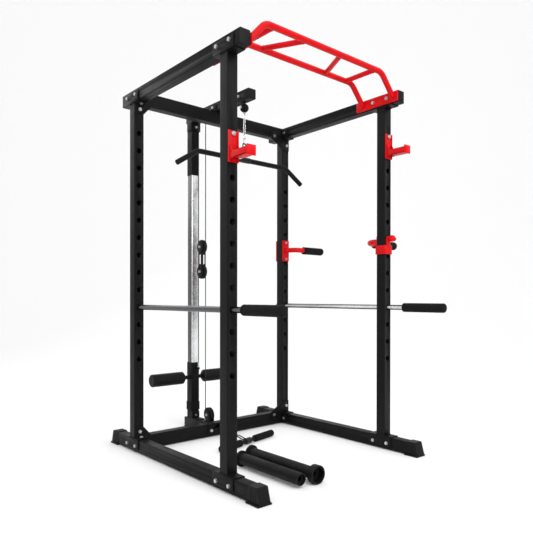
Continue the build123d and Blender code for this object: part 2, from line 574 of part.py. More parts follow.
def build_cables():
    """Each cable in the lengths that stay straight or bent together while the tower works."""
    rear_run = BLOCK_Y - PITCH_R
    up_run = BLOCK_Y + PITCH_R
    top = LAT_Z + SMALL_PITCH
    top_run = swept([(0, LAT_BAR_Y, LAT_Z), (0, LAT_BAR_Y, top), (0, rear_run, top), (0, rear_run, LAT_Z)],
                    SMALL_PITCH - 0.005, CABLE_R)
    slot_z = LOW_PULLEY_Z - PITCH_R
    low_run = swept([(0, CAGE_D - TUBE + 10, slot_z), (0, rear_run, slot_z), (0, rear_run, LOW_PULLEY_Z)],
                    PITCH_R - 0.01, CABLE_R)
    nodes["cable_fixed_runs"] = solids(top_run, low_run)
    nodes["lat_cable_drop"] = rod_z(CABLE_R, LAT_STOP_Z + 10, LAT_Z - 0.4, 0, LAT_BAR_Y)
    nodes["lat_cable_loop"] = swept(
        [(0, rear_run, LAT_Z - 0.4), (0, rear_run, BLOCK_HIGH_Z - PITCH_R),
         (0, up_run, BLOCK_HIGH_Z - PITCH_R), (0, up_run, LAT_Z - 0.4)], PITCH_R - 0.01, CABLE_R)
    lug_z = CARRIAGE_Z + CARRIAGE_H - 30
    nodes["row_cable_loop"] = swept(
        [(0, rear_run, LOW_PULLEY_Z + 0.4), (0, rear_run, BLOCK_LOW_Z + PITCH_R),
         (0, up_run, BLOCK_LOW_Z + PITCH_R), (0, up_run, lug_z)], PITCH_R - 0.01, CABLE_R)


def build_carriage():
    half = GUIDE / 2 + 3.5
    z0, z1 = CARRIAGE_Z, CARRIAGE_Z + CARRIAGE_H
    sleeve = softened(block(-half, half, MAST_Y - half, MAST_Y + half, z0, z1), Axis.Z, 6)
    inner = GUIDE / 2 + 0.8
    sleeve -= softened(block(-inner, inner, MAST_Y - inner, MAST_Y + inner, z0 - 1, z1 + 1), Axis.Z, 6.5)
    horns = []
    for side in (-1, 1):
        x0, x1 = sorted((side * (half - 1), side * 318))
        horns.append(rod_x(13.0, x0, x1, MAST_Y, HORN_Z))
    lug_z = z1 - 30
    lug = block(-5, 5, BLOCK_Y + PITCH_R - 9, MAST_Y - half, lug_z - 14, lug_z)
    frame = sleeve + horns[0] + horns[1] + lug
    nodes["weight_carriage"] = frame
    adapters = []
    for side in (-1, 1):
        near, far = 74.0, 325.0
        cone = Pos(side * (near + 8), MAST_Y, HORN_Z) * Rot(0, -90 * side, 0) * Cone(HORN_SLEEVE_R, 26, 16)
        x0, x1 = sorted((side * (near + 16), side * far))
        barrel = rod_x(HORN_SLEEVE_R, x0, x1, MAST_Y, HORN_Z)
        outer_edge = barrel.edges().group_by(Axis.X)[-1 if side > 0 else 0]
        barrel = fillet(outer_edge, 6.0)
        b0, b1 = sorted((side * (near - 1), side * 318.3))
        adapters.append((cone + barrel) - rod_x(13.0, b0, b1, MAST_Y, HORN_Z))
    nodes["carriage_sleeves"] = solids(*adapters)
    bumper = softened(block(-35, 35, MAST_Y - 35, MAST_Y + 35, 124, CARRIAGE_Z), Axis.Z, 8)
    guide_hole = softened(block(-GUIDE / 2, GUIDE / 2, MAST_Y - GUIDE / 2, MAST_Y + GUIDE / 2, 100, 200), Axis.Z, 6)
    nodes["carriage_bumper"] = bumper - guide_hole


# ---- lat bar, low-row bar and their chains ------------------------------------------------------
def link(length, width, wire):
    """One closed link standing along Z, centred, in the XZ plane; length and width are outside sizes."""
    mid_r = width / 2 - wire
    half_l = length / 2 - wire - mid_r
    sides = [Line((mid_r, 0, -half_l), (mid_r, 0, half_l)), Line((-mid_r, 0, half_l), (-mid_r, 0, -half_l))]
    top = ThreePointArc((mid_r, 0, half_l), (0, 0, half_l + mid_r), (-mid_r, 0, half_l))
    bottom = ThreePointArc((-mid_r, 0, -half_l), (0, 0, -half_l - mid_r), (mid_r, 0, -half_l))
    path = Wire([sides[0].edge(), top.edge(), sides[1].edge(), bottom.edge()])
    return sweep(Pos(mid_r, 0, 0) * Circle(wire), path=path)


def chain(start, end, count, wire=2.5, width=18.0):
    """Welded links threaded through each other, every second one turned a quarter."""
    start, end = Vector(*start), Vector(*end)
    run = end - start
    step = run.length / count
    frame = Plane(origin=start, z_dir=run, x_dir=(1, 0, 0))
    one = link(step + 4 * wire + 0.1, width, wire)
    return [frame.location * (Pos(0, 0, step * (k + 0.5)) * Rot(0, 0, 90 * (k % 2)) * one) for k in range(count)]


def eye_plate(radius):
    """Small lug in the YZ plane about the origin, with the hole that a link passes through."""
    return rod_x(radius, -2, 2, 0, 0) - rod_x(5.4, -5, 5, 0, 0)


def build_lat_bar():
    y = LAT_BAR_Y
    ball = Pos(0, y, LAT_STOP_Z) * Sphere(27)
    ball -= rod_z(CABLE_R, LAT_STOP_Z + 10, LAT_STOP_Z + 40, 0, y)
    lug_z = LAT_STOP_Z - 33
    ball += Pos(0, y, lug_z) * eye_plate(8.5)
    clamp = rod_x(9.0, -33, -20, y, LAT_STOP_Z)
    nodes["lat_ball_stop"] = ball + clamp
    chain_end = LAT_BAR_Z + 100
    links = chain((0, y, lug_z - 3.3), (0, y, chain_end), 6)
    top, bottom = chain_end + 7.6, LAT_BAR_Z + 17.5
    hook = Pos(0, y, (top + bottom) / 2) * link(top - bottom, 30.0, 3.8)
    eye = Pos(0, y, LAT_BAR_Z + 21.7) * (rod_x(11.0, -3, 3, 0, 0) - rod_x(4.9, -5, 5, 0, 0))
    sleeve = rod_x(17.5, -40, 40, y, LAT_BAR_Z) - rod_x(15.0, -50, 50, y, LAT_BAR_Z)
    bore = rod_x(15.0, -50, 50, y, LAT_BAR_Z)
    nodes["lat_chain"] = solids(sleeve + (eye - bore), hook, *links)
    bend_x, tip_x, drop = 342.0, 480.0, 88.0
    points = [(-tip_x, y, LAT_BAR_Z - drop), (-bend_x, y, LAT_BAR_Z), (bend_x, y, LAT_BAR_Z),
              (tip_x, y, LAT_BAR_Z - drop)]
    nodes["lat_bar"] = swept(points, 70.0, 15.0, 12.5)
    caps = []
    run = math.hypot(tip_x - bend_x, drop)
    for side in (-1, 1):
        out = Vector(side * (tip_x - bend_x) / run, 0, -drop / run)
        seat = Plane(origin=(side * tip_x, y, LAT_BAR_Z - drop), z_dir=out)
        cap = seat * (Pos(0, 0, 1.5) * Cylinder(15.0, 3.0) + Pos(0, 0, -7.5) * Cylinder(12.4, 15.0))
        caps.append(cap)
    nodes["lat_bar_caps"] = solids(*caps)


def build_row_bar():
    y, z = ROW_BAR_Y, ROW_BAR_Z
    slot_z = LOW_PULLEY_Z - PITCH_R
    stop_y = CAGE_D - TUBE - PLATE - 26
    ball = Pos(0, stop_y, slot_z) * Sphere(23)
    ball -= rod_y(CABLE_R, stop_y + 5, stop_y + 40, 0, slot_z)
    ball += Pos(0, stop_y - 29, slot_z) * eye_plate(8.5)
    nodes["row_ball_stop"] = ball
    nodes["row_cable_draw"] = rod_y(CABLE_R, stop_y + 5.2, CAGE_D - TUBE + 9.6, 0, slot_z)
    # the snap hook rises from the bar's eye to the last link
    eye_at = Vector(0, y + 22.5, z + 2)
    reach, rise = 73.4, 12.9
    hook = Pos(0, y + 22.9 + reach / 2, z + 2.2 + rise / 2) * Rot(100, 0, 0) * link(82.1, 30.0, 3.8)
    hook_end = Vector(0, y + 22.9 + reach, z + 2.2 + rise)
    stop_eye = Vector(0, stop_y - 29, slot_z)
    run = (hook_end - stop_eye).normalized()
    links = chain(stop_eye + run * 3.2, hook_end + run * 3.7, 4)
    eye = Pos(*eye_at) * (rod_x(11.5, -3, 3, 0, 0) - rod_x(5.6, -5, 5, 0, 0))
    bore = rod_x(12.5, -50, 50, y, z)
    sleeve = rod_x(18.5, -24, 24, y, z) - bore
    # the bar lies on the floor turned about its eye
    turn = Pos(*eye_at) * Rot(0, 0, ROW_BAR_YAW) * Pos(*(eye_at * -1))
    nodes["row_chain"] = solids(turn * (sleeve + (eye - bore)), hook, *links)
    bar = rod_x(12.5, -248, 248, y, z)
    nodes["row_bar"] = turn * bar
    grips = []
    for side in (-1, 1):
        x0, x1 = sorted((side * 66, side * 253))
        grip = rod_x(21.0, x0, x1, y, z)
        grips.append(turn * (fillet(grip.edges(), 4.0) - bar))
    nodes["row_bar_grips"] = solids(*grips)


def adapter(x, y_front, y_back, flange_back):
    """Hollow black sleeve with a flange, lying on the floor and touching it with the flange."""
    flange_r, body_r = 42.0, 30.0
    body = rod_y(body_r, y_front, y_back, x, flange_r)
    y0, y1 = (y_back - 14, y_back) if flange_back else (y_front, y_front + 14)
    body += rod_y(flange_r, y0, y1, x, flange_r)
    return body - rod_y(14.5, y_front - 5, y_back + 5, x, flange_r)


def build_adapters():
    nodes["adapter_sleeve_left"] = adapter(-302.0, -172.0, 292.0, True)
    x = -200.0
    right = Pos(0, 0, 4.0) * adapter(x, -172.0, 334.0, True) + rod_y(46.0, -186, -150, x, 46.0)
    nodes["adapter_sleeve_right"] = right - rod_y(38.0, -190, -154, x, 46.0) - rod_y(14.5, -200, -100, x, 46.0)


def main():
    build_frame()
    build_cross_beams()
    build_gussets()
    build_saddle_bolts()
    build_end_caps()
    build_pullup_bar()
    build_safety_bars()
    build_j_hooks()
    build_dip_handles()
    build_tower()
    build_pulleys()
    build_cables()
    build_carriage()
    build_lat_bar()
    build_row_bar()
    build_adapters()
    os.makedirs("parts", exist_ok=True)
    for name, shape in nodes.items():
        export_step(shape.moved(Location(FRAME_ORIGIN)), "parts/" + name + ".step")
    box = Compound(children=[Compound(children=shape.solids()) for shape in nodes.values()]).bounding_box()
    print(len(nodes), "nodes, from", box.min, "to", box.max)


main()
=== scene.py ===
# %% [markdown]
# # Power cage with a lat and low-row tower
#
# The cage's exact solids come from the CAD frame. This script turns them into a believable object:
# edges that catch light, coatings with grain and wear, real bolts, welds, chains, cables and grips.
#
# Order of work:
# 1. load the frame and set the coordinates
# 2. build shader node groups, then the materials that share them
# 3. build modelling helpers: lathe, sweep, rounded box
# 4. make the pieces, one family per cell, and let each ride on its CAD body
# 5. make the backdrop and the lights

# %%
import math
import bmesh
import bpy
from mathutils import Matrix, Vector


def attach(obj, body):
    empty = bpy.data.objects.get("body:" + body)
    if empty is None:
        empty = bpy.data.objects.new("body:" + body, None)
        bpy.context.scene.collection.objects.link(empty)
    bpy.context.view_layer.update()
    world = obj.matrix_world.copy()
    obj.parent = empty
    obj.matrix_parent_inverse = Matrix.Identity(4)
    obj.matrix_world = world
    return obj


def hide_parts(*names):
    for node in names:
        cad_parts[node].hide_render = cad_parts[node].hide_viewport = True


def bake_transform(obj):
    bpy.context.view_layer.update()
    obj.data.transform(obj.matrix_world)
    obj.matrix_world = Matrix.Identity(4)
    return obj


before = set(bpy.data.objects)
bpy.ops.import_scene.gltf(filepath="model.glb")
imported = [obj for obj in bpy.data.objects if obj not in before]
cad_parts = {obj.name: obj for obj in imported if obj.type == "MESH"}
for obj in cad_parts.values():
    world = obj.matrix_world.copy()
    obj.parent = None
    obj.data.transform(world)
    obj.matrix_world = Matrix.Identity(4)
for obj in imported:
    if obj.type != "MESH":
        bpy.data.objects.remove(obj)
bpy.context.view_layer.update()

# %% [markdown]
# ## Coordinates
# Every length below is in millimetres about the cage: X = 0 is its centre plane, Y = 0 the front face of
# the front uprights and Z = 0 the floor. `at` turns such a point into metres in the shared frame.

# %%
CENTRE = (123.5, 451.0)


def at(x, y, z):
    return Vector(((x - CENTRE[0]) / 1000, (y - CENTRE[1]) / 1000, z / 1000))


UP_X = 580.0
UP_Y = (30.0, 935.0)
RAIL_TOP, BEAM_Z, BEAM_TOP = 76.0, 2041.0, 2111.0
MAST_Y = 1222.0
LAT_Y, LAT_BAR_Z, LAT_STOP_Z, LAT_Z = 648.0, 1750.0, 2071.0, 2141.0
BLOCK_Y, BLOCK_LOW_Z, BLOCK_HIGH_Z = 1112.0, 1077.0, 1246.0
LOW_Y, LOW_Z = 1027.0, 117.0
PITCH_R, CABLE_R, PULLEY_R = 42.5, 3.0, 47.5
REAR_RUN, UP_RUN = BLOCK_Y - PITCH_R, BLOCK_Y + PITCH_R
HORN_Z, ROW_Y, ROW_Z, SAFETY_Z, DIP_Z = 350.0, 617.0, 21.0, 844.8, 1240.0

# %% [markdown]
# ## Camera
# A standing viewer's eye, a little below shoulder height, looks almost level at the front left corner.
# The horizon sits low in the frame, so the lens is shifted up and the uprights stay vertical.

# %%
camera = bpy.data.objects.new("camera", bpy.data.cameras.new("camera"))
bpy.context.scene.collection.objects.link(camera)
camera.data.lens = 37.68
camera.data.sensor_width = 36.0
camera.data.shift_y = 0.0626
camera.location = at(-2137.8, -2062.8, 901.9)
yaw, pitch, roll = math.radians(40.551), math.radians(-0.24), math.radians(0.064)
forward = Vector((math.sin(yaw) * math.cos(pitch), math.cos(yaw) * math.cos(pitch), math.sin(pitch)))
level = forward.cross(Vector((0, 0, 1))).normalized()
upward = level.cross(forward)
right = level * math.cos(roll) + upward * math.sin(roll)
upward = right.cross(forward)
camera.rotation_mode = "QUATERNION"
camera.rotation_quaternion = Matrix((right, upward, -forward)).transposed().to_quaternion()
camera.data.clip_start, camera.data.clip_end = 0.05, 60
bpy.context.scene.camera = camera
print("camera at", [round(v, 3) for v in camera.location])

# %% [markdown]
# ## Shader node groups
# Small helpers create nodes and link them. Each group puts out a mask, a value or a normal; the
# Principled shader itself stays in every material.


# %%
def add(tree, kind, values=None, **settings):
    node = tree.nodes.new(kind)
    for key, value in settings.items():
        setattr(node, key, value)
    for socket, value in (values or {}).items():
        node.inputs[socket].default_value = value
    return node


def group(name, inputs, outputs):
    tree = bpy.data.node_groups.new(name, "ShaderNodeTree")
    for label, kind, value in inputs:
        socket = tree.interface.new_socket(label, in_out="INPUT", socket_type=kind)
        socket.default_value = value
    for label, kind in outputs:
        tree.interface.new_socket(label, in_out="OUTPUT", socket_type=kind)
    return tree, add(tree, "NodeGroupInput"), add(tree, "NodeGroupOutput")


def grain_group():
    """Fine relief of a sprayed or moulded surface, as a normal, and the same grain as a value."""
    tree, gin, gout = group("Surface Grain", [("Scale", "NodeSocketFloat", 900.0),
                                              ("Depth", "NodeSocketFloat", 0.1),
                                              ("Rough Detail", "NodeSocketFloat", 0.55)],
                            [("Normal", "NodeSocketVector"), ("Grain", "NodeSocketFloat")])
    coord = add(tree, "ShaderNodeTexCoord")
    noise = add(tree, "ShaderNodeTexNoise", {"Detail": 3.0})
    bump = add(tree, "ShaderNodeBump", {"Distance": 0.0004})
    tree.links.new(coord.outputs["Object"], noise.inputs["Vector"])
    tree.links.new(gin.outputs["Scale"], noise.inputs["Scale"])
    tree.links.new(gin.outputs["Rough Detail"], noise.inputs["Roughness"])
    tree.links.new(gin.outputs["Depth"], bump.inputs["Strength"])
    tree.links.new(noise.outputs["Fac"], bump.inputs["Height"])
    tree.links.new(bump.outputs["Normal"], gout.inputs["Normal"])
    tree.links.new(noise.outputs["Fac"], gout.inputs["Grain"])
    return tree


def edge_group():
    """White along convex edges: the bevelled normal differs from the true one only near an edge."""
    tree, gin, gout = group("Edge Mask", [("Width", "NodeSocketFloat", 0.0015),
                                          ("Breakup", "NodeSocketFloat", 60.0)],
                            [("Mask", "NodeSocketFloat")])
    geometry = add(tree, "ShaderNodeNewGeometry")
    bevel = add(tree, "ShaderNodeBevel", samples=4)
    dot = add(tree, "ShaderNodeVectorMath", operation="DOT_PRODUCT")
    ramp = add(tree, "ShaderNodeMapRange", {"From Min": 0.999, "From Max": 0.9, "To Min": 0.0, "To Max": 1.0})
    coord = add(tree, "ShaderNodeTexCoord")
    noise = add(tree, "ShaderNodeTexNoise", {"Detail": 4.0, "Roughness": 0.7})
    patch = add(tree, "ShaderNodeMapRange", {"From Min": 0.45, "From Max": 0.6})
    both = add(tree, "ShaderNodeMath", operation="MULTIPLY")
    tree.links.new(gin.outputs["Width"], bevel.inputs["Radius"])
    tree.links.new(geometry.outputs["Normal"], dot.inputs[0])
    tree.links.new(bevel.outputs["Normal"], dot.inputs[1])
    tree.links.new(dot.outputs["Value"], ramp.inputs["Value"])
    tree.links.new(coord.outputs["Object"], noise.inputs["Vector"])
    tree.links.new(gin.outputs["Breakup"], noise.inputs["Scale"])
    tree.links.new(noise.outputs["Fac"], patch.inputs["Value"])
    tree.links.new(ramp.outputs["Result"], both.inputs[0])
    tree.links.new(patch.outputs["Result"], both.inputs[1])
    tree.links.new(both.outputs["Value"], gout.inputs["Mask"])
    return tree


def smudge_group():
    """Broad soft patches, for handling marks and dust, between two roughness values."""
    tree, gin, gout = group("Smudges", [("Scale", "NodeSocketFloat", 6.0),
                                        ("Smooth", "NodeSocketFloat", 0.35),
                                        ("Rough", "NodeSocketFloat", 0.5)],
                            [("Roughness", "NodeSocketFloat"), ("Mask", "NodeSocketFloat")])
    coord = add(tree, "ShaderNodeTexCoord")
    noise = add(tree, "ShaderNodeTexNoise", {"Detail": 6.0, "Roughness": 0.65, "Distortion": 0.4})
    spread = add(tree, "ShaderNodeMapRange", {"From Min": 0.35, "From Max": 0.65})
    mix = add(tree, "ShaderNodeMix", data_type="FLOAT")
    tree.links.new(coord.outputs["Object"], noise.inputs["Vector"])
    tree.links.new(gin.outputs["Scale"], noise.inputs["Scale"])
    tree.links.new(noise.outputs["Fac"], spread.inputs["Value"])
    tree.links.new(spread.outputs["Result"], mix.inputs["Factor"])
    tree.links.new(gin.outputs["Smooth"], mix.inputs["A"])
    tree.links.new(gin.outputs["Rough"], mix.inputs["B"])
    tree.links.new(mix.outputs["Result"], gout.inputs["Roughness"])
    tree.links.new(spread.outputs["Result"], gout.inputs["Mask"])
    return tree


GRAIN, EDGE, SMUDGE = grain_group(), edge_group(), smudge_group()
print("node groups:", [tree.name for tree in (GRAIN, EDGE, SMUDGE)])

# %% [markdown]
# ## Materials
# One recipe covers every finish: a base colour, a second colour for worn edges, the grain's scale and
# depth, and the roughness range of the smudges.


# %%
def material(name, colour, edge_colour, grain, rough, metallic=0.0, edge=(0.0015, 60.0), coat=0.0, smudge=6.0,
             mottled=None, shine=0.5, painted_reflection_dark=None):
    """grain is (scale, depth); rough is (smooth, rough); mottled is an optional second base colour. The last
    argument is a painted reflection: a darker colour painted into a polished surface where it turns away from
    the viewer, standing in for the dark surroundings that it would reflect."""
    made = bpy.data.materials.new(name)
    made.use_nodes = True
    tree = made.node_tree
    tree.nodes.clear()
    out = add(tree, "ShaderNodeOutputMaterial")
    shader = add(tree, "ShaderNodeBsdfPrincipled", {"Metallic": metallic, "Coat Weight": coat,
                                                    "Coat Roughness": 0.25,
                                                    "Specular IOR Level": shine})
    grains = add(tree, "ShaderNodeGroup", node_tree=GRAIN)
    grains.inputs["Scale"].default_value, grains.inputs["Depth"].default_value = grain
    edges = add(tree, "ShaderNodeGroup", node_tree=EDGE)
    edges.inputs["Width"].default_value, edges.inputs["Breakup"].default_value = edge
    smudges = add(tree, "ShaderNodeGroup", node_tree=SMUDGE)
    smudges.inputs["Scale"].default_value = smudge
    smudges.inputs["Smooth"].default_value, smudges.inputs["Rough"].default_value = rough
    base = add(tree, "ShaderNodeMix", data_type="RGBA")
    base.inputs["A"].default_value = (*colour, 1.0)
    base.inputs["B"].default_value = (*(mottled or [c * 1.25 for c in colour]), 1.0)
    worn = add(tree, "ShaderNodeMix", data_type="RGBA")
    worn.inputs["B"].default_value = (*edge_colour, 1.0)
    tree.links.new(smudges.outputs["Mask"], base.inputs["Factor"])
    tree.links.new(base.outputs["Result"], worn.inputs["A"])
    tree.links.new(edges.outputs["Mask"], worn.inputs["Factor"])
    tint = worn.outputs["Result"]
    # painted reflection: the colour is darkened where the surface turns away from the viewer
    if painted_reflection_dark:
        weight = add(tree, "ShaderNodeLayerWeight", {"Blend": 0.5})
        ramp = add(tree, "ShaderNodeMapRange", {"From Min": 0.22, "From Max": 0.42})
        ramp.interpolation_type = "SMOOTHSTEP"
        turned = add(tree, "ShaderNodeMix", data_type="RGBA")
        turned.inputs["B"].default_value = (*painted_reflection_dark, 1.0)
        tree.links.new(weight.outputs["Facing"], ramp.inputs["Value"])
        tree.links.new(ramp.outputs["Result"], turned.inputs["Factor"])
        tree.links.new(tint, turned.inputs["A"])
        tint = turned.outputs["Result"]
    tree.links.new(tint, shader.inputs["Base Color"])
    tree.links.new(smudges.outputs["Roughness"], shader.inputs["Roughness"])
    tree.links.new(grains.outputs["Normal"], shader.inputs["Normal"])
    tree.links.new(shader.outputs["BSDF"], out.inputs["Surface"])
    return made


BLACK = material("black powder coat", (0.0045, 0.0045, 0.005), (0.022, 0.022, 0.023), (1400, 0.35),
                 (0.40, 0.52), shine=0.12)
RED = material("red powder coat", (0.56, 0.0012, 0.004), (0.62, 0.03, 0.03), (1400, 0.25), (0.32, 0.44),
               shine=0.16)
# the chrome's darker colour towards its turned-away edges is a painted reflection, not its own colour
CHROME = material("chrome", (0.78, 0.79, 0.80), (0.85, 0.85, 0.86), (2200, 0.004), (0.22, 0.27),
                  metallic=1.0, smudge=30,
                  painted_reflection_dark=(0.10, 0.10, 0.105))
DARK_STEEL = material("dark steel", (0.012, 0.012, 0.013), (0.08, 0.08, 0.08), (1600, 0.10), (0.30, 0.42),
                      shine=0.2)
ZINC = material("zinc", (0.62, 0.61, 0.58), (0.8, 0.8, 0.8), (1800, 0.15), (0.26, 0.42), metallic=1.0,
                smudge=40,
                mottled=(0.50, 0.50, 0.52))
PLASTIC = material("black plastic", (0.006, 0.006, 0.0065), (0.018, 0.018, 0.018), (900, 0.5), (0.45, 0.6),
                   shine=0.13)
RUBBER = material("black rubber", (0.005, 0.005, 0.005), (0.012, 0.012, 0.012), (600, 0.8), (0.6, 0.8),
                  smudge=12, shine=0.13)
FOAM = material("foam grip", (0.006, 0.006, 0.0065), (0.012, 0.012, 0.012), (420, 1.0), (0.7, 0.9),
                smudge=25, shine=0.12)
CABLE = material("cable jacket", (0.006, 0.006, 0.007), (0.015, 0.015, 0.015), (1200, 0.3), (0.22, 0.34),
                 shine=0.3)
WELD = material("weld under paint", (0.005, 0.005, 0.0055), (0.02, 0.02, 0.02), (700, 0.6), (0.4, 0.55),
                shine=0.14)
RED_WELD = material("red weld", (0.50, 0.0012, 0.004), (0.55, 0.03, 0.03), (700, 0.6), (0.35, 0.5),
                    shine=0.16)

# %% [markdown]
# ## Modelling helpers
# A `Piece` collects geometry in a bmesh, in millimetres about the cage, and `done` turns it into one
# object that rides on a body and stands for its CAD nodes. Everything is built from rings of vertices.


# %%
def perpendicular(direction):
    side = direction.cross(Vector((0, 0, 1)))
    if side.length < 1e-3:
        side = Vector((1, 0, 0))
    return side.normalized()


def round_profile(radius, sides):
    return [(radius * math.cos(2 * math.pi * k / sides), radius * math.sin(2 * math.pi * k / sides))
            for k in range(sides)]


def box_profile(w, h, r, steps=4):
    """Rectangle w by h with rounded corners, counter-clockwise."""
    points = []
    for cx, cy, a0 in ((w / 2 - r, h / 2 - r, 0), (-w / 2 + r, h / 2 - r, 90), (-w / 2 + r, -h / 2 + r, 180),
                       (w / 2 - r, -h / 2 + r, 270)):
        for k in range(steps + 1):
            a = math.radians(a0 + 90 * k / steps)
            points.append((cx + r * math.cos(a), cy + r * math.sin(a)))
    return points


def rounded_route(points, radius, steps=10):
    """Polyline with each inner corner replaced by a tangent arc; radius may be one list entry a corner."""
    points = [Vector(p) for p in points]
    out = [points[0]]
    for i in range(1, len(points) - 1):
        r = radius[i - 1] if isinstance(radius, (list, tuple)) else radius
        a, b, c = points[i - 1], points[i], points[i + 1]
        u, v = (a - b).normalized(), (c - b).normalized()
        half = u.angle(v) / 2
        reach = r / math.tan(half)
        centre = b + (u + v).normalized() * (r / math.sin(half))
        start, end = b + u * reach - centre, b + v * reach - centre
        turn = start.angle(end)
        for k in range(steps + 1):
            t = k / steps
            blend = start * math.sin((1 - t) * turn) + end * math.sin(t * turn)
            out.append(centre + blend / math.sin(turn))
    out.append(points[-1])
    return out


class Piece:
    def __init__(self, name):
        self.name, self.bm = name, bmesh.new()

    def rings(self, rings, closed_ends=True, loop=False):
        """Skin a list of vertex rings of equal length."""
        rows = [[self.bm.verts.new(p) for p in ring] for ring in rings]
        n = len(rows[0])
        pairs = list(zip(rows, rows[1:])) + ([(rows[-1], rows[0])] if loop else [])
        for a, b in pairs:
            for k in range(n):
                self.bm.faces.new((a[k], a[(k + 1) % n], b[(k + 1) % n], b[k]))
        if closed_ends and not loop:
            self.bm.faces.new(rows[0][::-1])
            self.bm.faces.new(rows[-1])
        return self

    def lathe(self, origin, axis, profile, sides=40, loop=False):
        """Revolve (radius, offset) pairs about a line; loop=True closes the profile for a ring with a bore."""
        origin, axis = Vector(origin), Vector(axis).normalized()
        side = perpendicular(axis)
        other = axis.cross(side)
        rings = []
        for radius, offset in profile:
            ring = round_profile(max(radius, 0.01), sides)
            rings.append([origin + axis * offset + side * u + other * v for u, v in ring])
        return self.rings(rings, loop=loop)

    def sweep(self, route, profile, up=(0, 0, 1), loop=False, scale=None):
        """Carry a flat profile along a route, keeping it from twisting."""
        route = [Vector(p) for p in route]
        rings, last = [], Vector(up)
        for i, point in enumerate(route):
            if loop:
                ahead = route[(i + 1) % len(route)] - route[i - 1]
            else:
                ahead = route[min(i + 1, len(route) - 1)] - route[max(i - 1, 0)]
            ahead.normalize()
            v = (last - ahead * last.dot(ahead))
            v = v.normalized() if v.length > 1e-4 else perpendicular(ahead)
            u = ahead.cross(v)
            last = v
            s = scale(i) if scale else 1.0
            rings.append([point + (u * a + v * b) * s for a, b in profile])
        return self.rings(rings, loop=loop)

    def box(self, x0, x1, y0, y1, z0, z1, r=1.0, segments=2):
        made = bmesh.ops.create_cube(self.bm, size=1.0, matrix=Matrix.Translation(
            ((x0 + x1) / 2, (y0 + y1) / 2, (z0 + z1) / 2)) @ Matrix.Diagonal((x1 - x0, y1 - y0, z1 - z0, 1)))
        edges = {e for v in made["verts"] for e in v.link_edges}
        bmesh.ops.bevel(self.bm, geom=list(edges), offset=r, segments=segments, affect="EDGES", profile=0.5)
        return self

    def done(self, finish, body, *cad, sharp=32):
        for v in self.bm.verts:
            v.co = at(*v.co)
        bmesh.ops.remove_doubles(self.bm, verts=self.bm.verts, dist=1e-7)
        bmesh.ops.recalc_face_normals(self.bm, faces=self.bm.faces)
        mesh = bpy.data.meshes.new(self.name)
        self.bm.to_mesh(mesh)
        self.bm.free()
        for polygon in mesh.polygons:
            polygon.use_smooth = True
        mesh.set_sharp_from_angle(angle=math.radians(sharp))
        made = bpy.data.objects.new(self.name, mesh)
        bpy.context.scene.collection.objects.link(made)
        return settle(made, finish, body, *cad)


def settle(made, finish, body, *cad):
    """Material, body and the CAD nodes that the object stands for."""
    made.data.materials.clear()
    made.data.materials.append(finish)
    if body:
        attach(made, body)
    if cad:
        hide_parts(*cad)
    return made


# %% [markdown]
# ## Steel straight from the frame
# Sheet and tube parts keep their exact solids. A copy of each mesh is cleaned of the flat triangles'
# extra edges and gets a small rounded bevel, because no real edge is perfectly sharp.


# %%
def rounded_copy(node, finish, bevel=0.8, body="cage", angle=28):
    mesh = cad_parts[node].data.copy()
    made = bpy.data.objects.new(node + "_steel", mesh)
    bpy.context.scene.collection.objects.link(made)
    bm = bmesh.new()
    bm.from_mesh(mesh)
    bmesh.ops.remove_doubles(bm, verts=bm.verts, dist=1e-6)
    bmesh.ops.dissolve_limit(bm, angle_limit=math.radians(0.5), verts=bm.verts, edges=bm.edges)
    bm.to_mesh(mesh)
    bm.free()
    if bevel:
        soft = made.modifiers.new("soft edges", "BEVEL")
        soft.width, soft.segments, soft.limit_method = bevel / 1000, 2, "ANGLE"
        soft.angle_limit = math.radians(angle)
        soft.use_clamp_overlap = True
        soft.miter_outer = "MITER_ARC"
        view = bpy.context.evaluated_depsgraph_get()
        baked = bpy.data.meshes.new_from_object(made.evaluated_get(view))
        made.modifiers.clear()
        made.data = baked
    for polygon in made.data.polygons:
        polygon.use_smooth = True
    made.data.set_sharp_from_angle(angle=math.radians(35))
    return settle(made, finish, body, node)


STEEL = ["base_rail_left", "base_rail_right", "top_side_beam_left", "top_side_beam_right",
         "upright_front_left",
         "upright_front_right", "upright_rear_left", "upright_rear_right", "upright_saddles",
         "rear_cross_beam_bottom", "rear_cross_beam_top", "corner_gussets", "lat_top_beam", "lat_mast",
         "lat_base_beam", "tower_brackets"]
for node in STEEL:
    rounded_copy(node, BLACK)
for node in ("pullup_end_plates", "pullup_tubes", "pullup_rungs", "dip_handle_rear", "dip_handle_front"):
    rounded_copy(node, RED, 0.8)
rounded_copy("lat_guide", CHROME, 0.6)
rounded_copy("tube_end_caps", PLASTIC, 0.8)
rounded_copy("block_plates", BLACK, 0.6, "pulley_block")
rounded_copy("weight_carriage", BLACK, 0.8, "carriage")
rounded_copy("carriage_bumper", RUBBER, 1.2)
print("steel pieces:", len(STEEL) + 10)

# %% [markdown]
# ## Bolts with Geometry Nodes
# One tree makes a hexagon head with its chamfer, a washer and the rounded end of the shank, and sets one
# on every point. A point's `facing` attribute turns the bolt; a fixed seed spins each by a different angle.


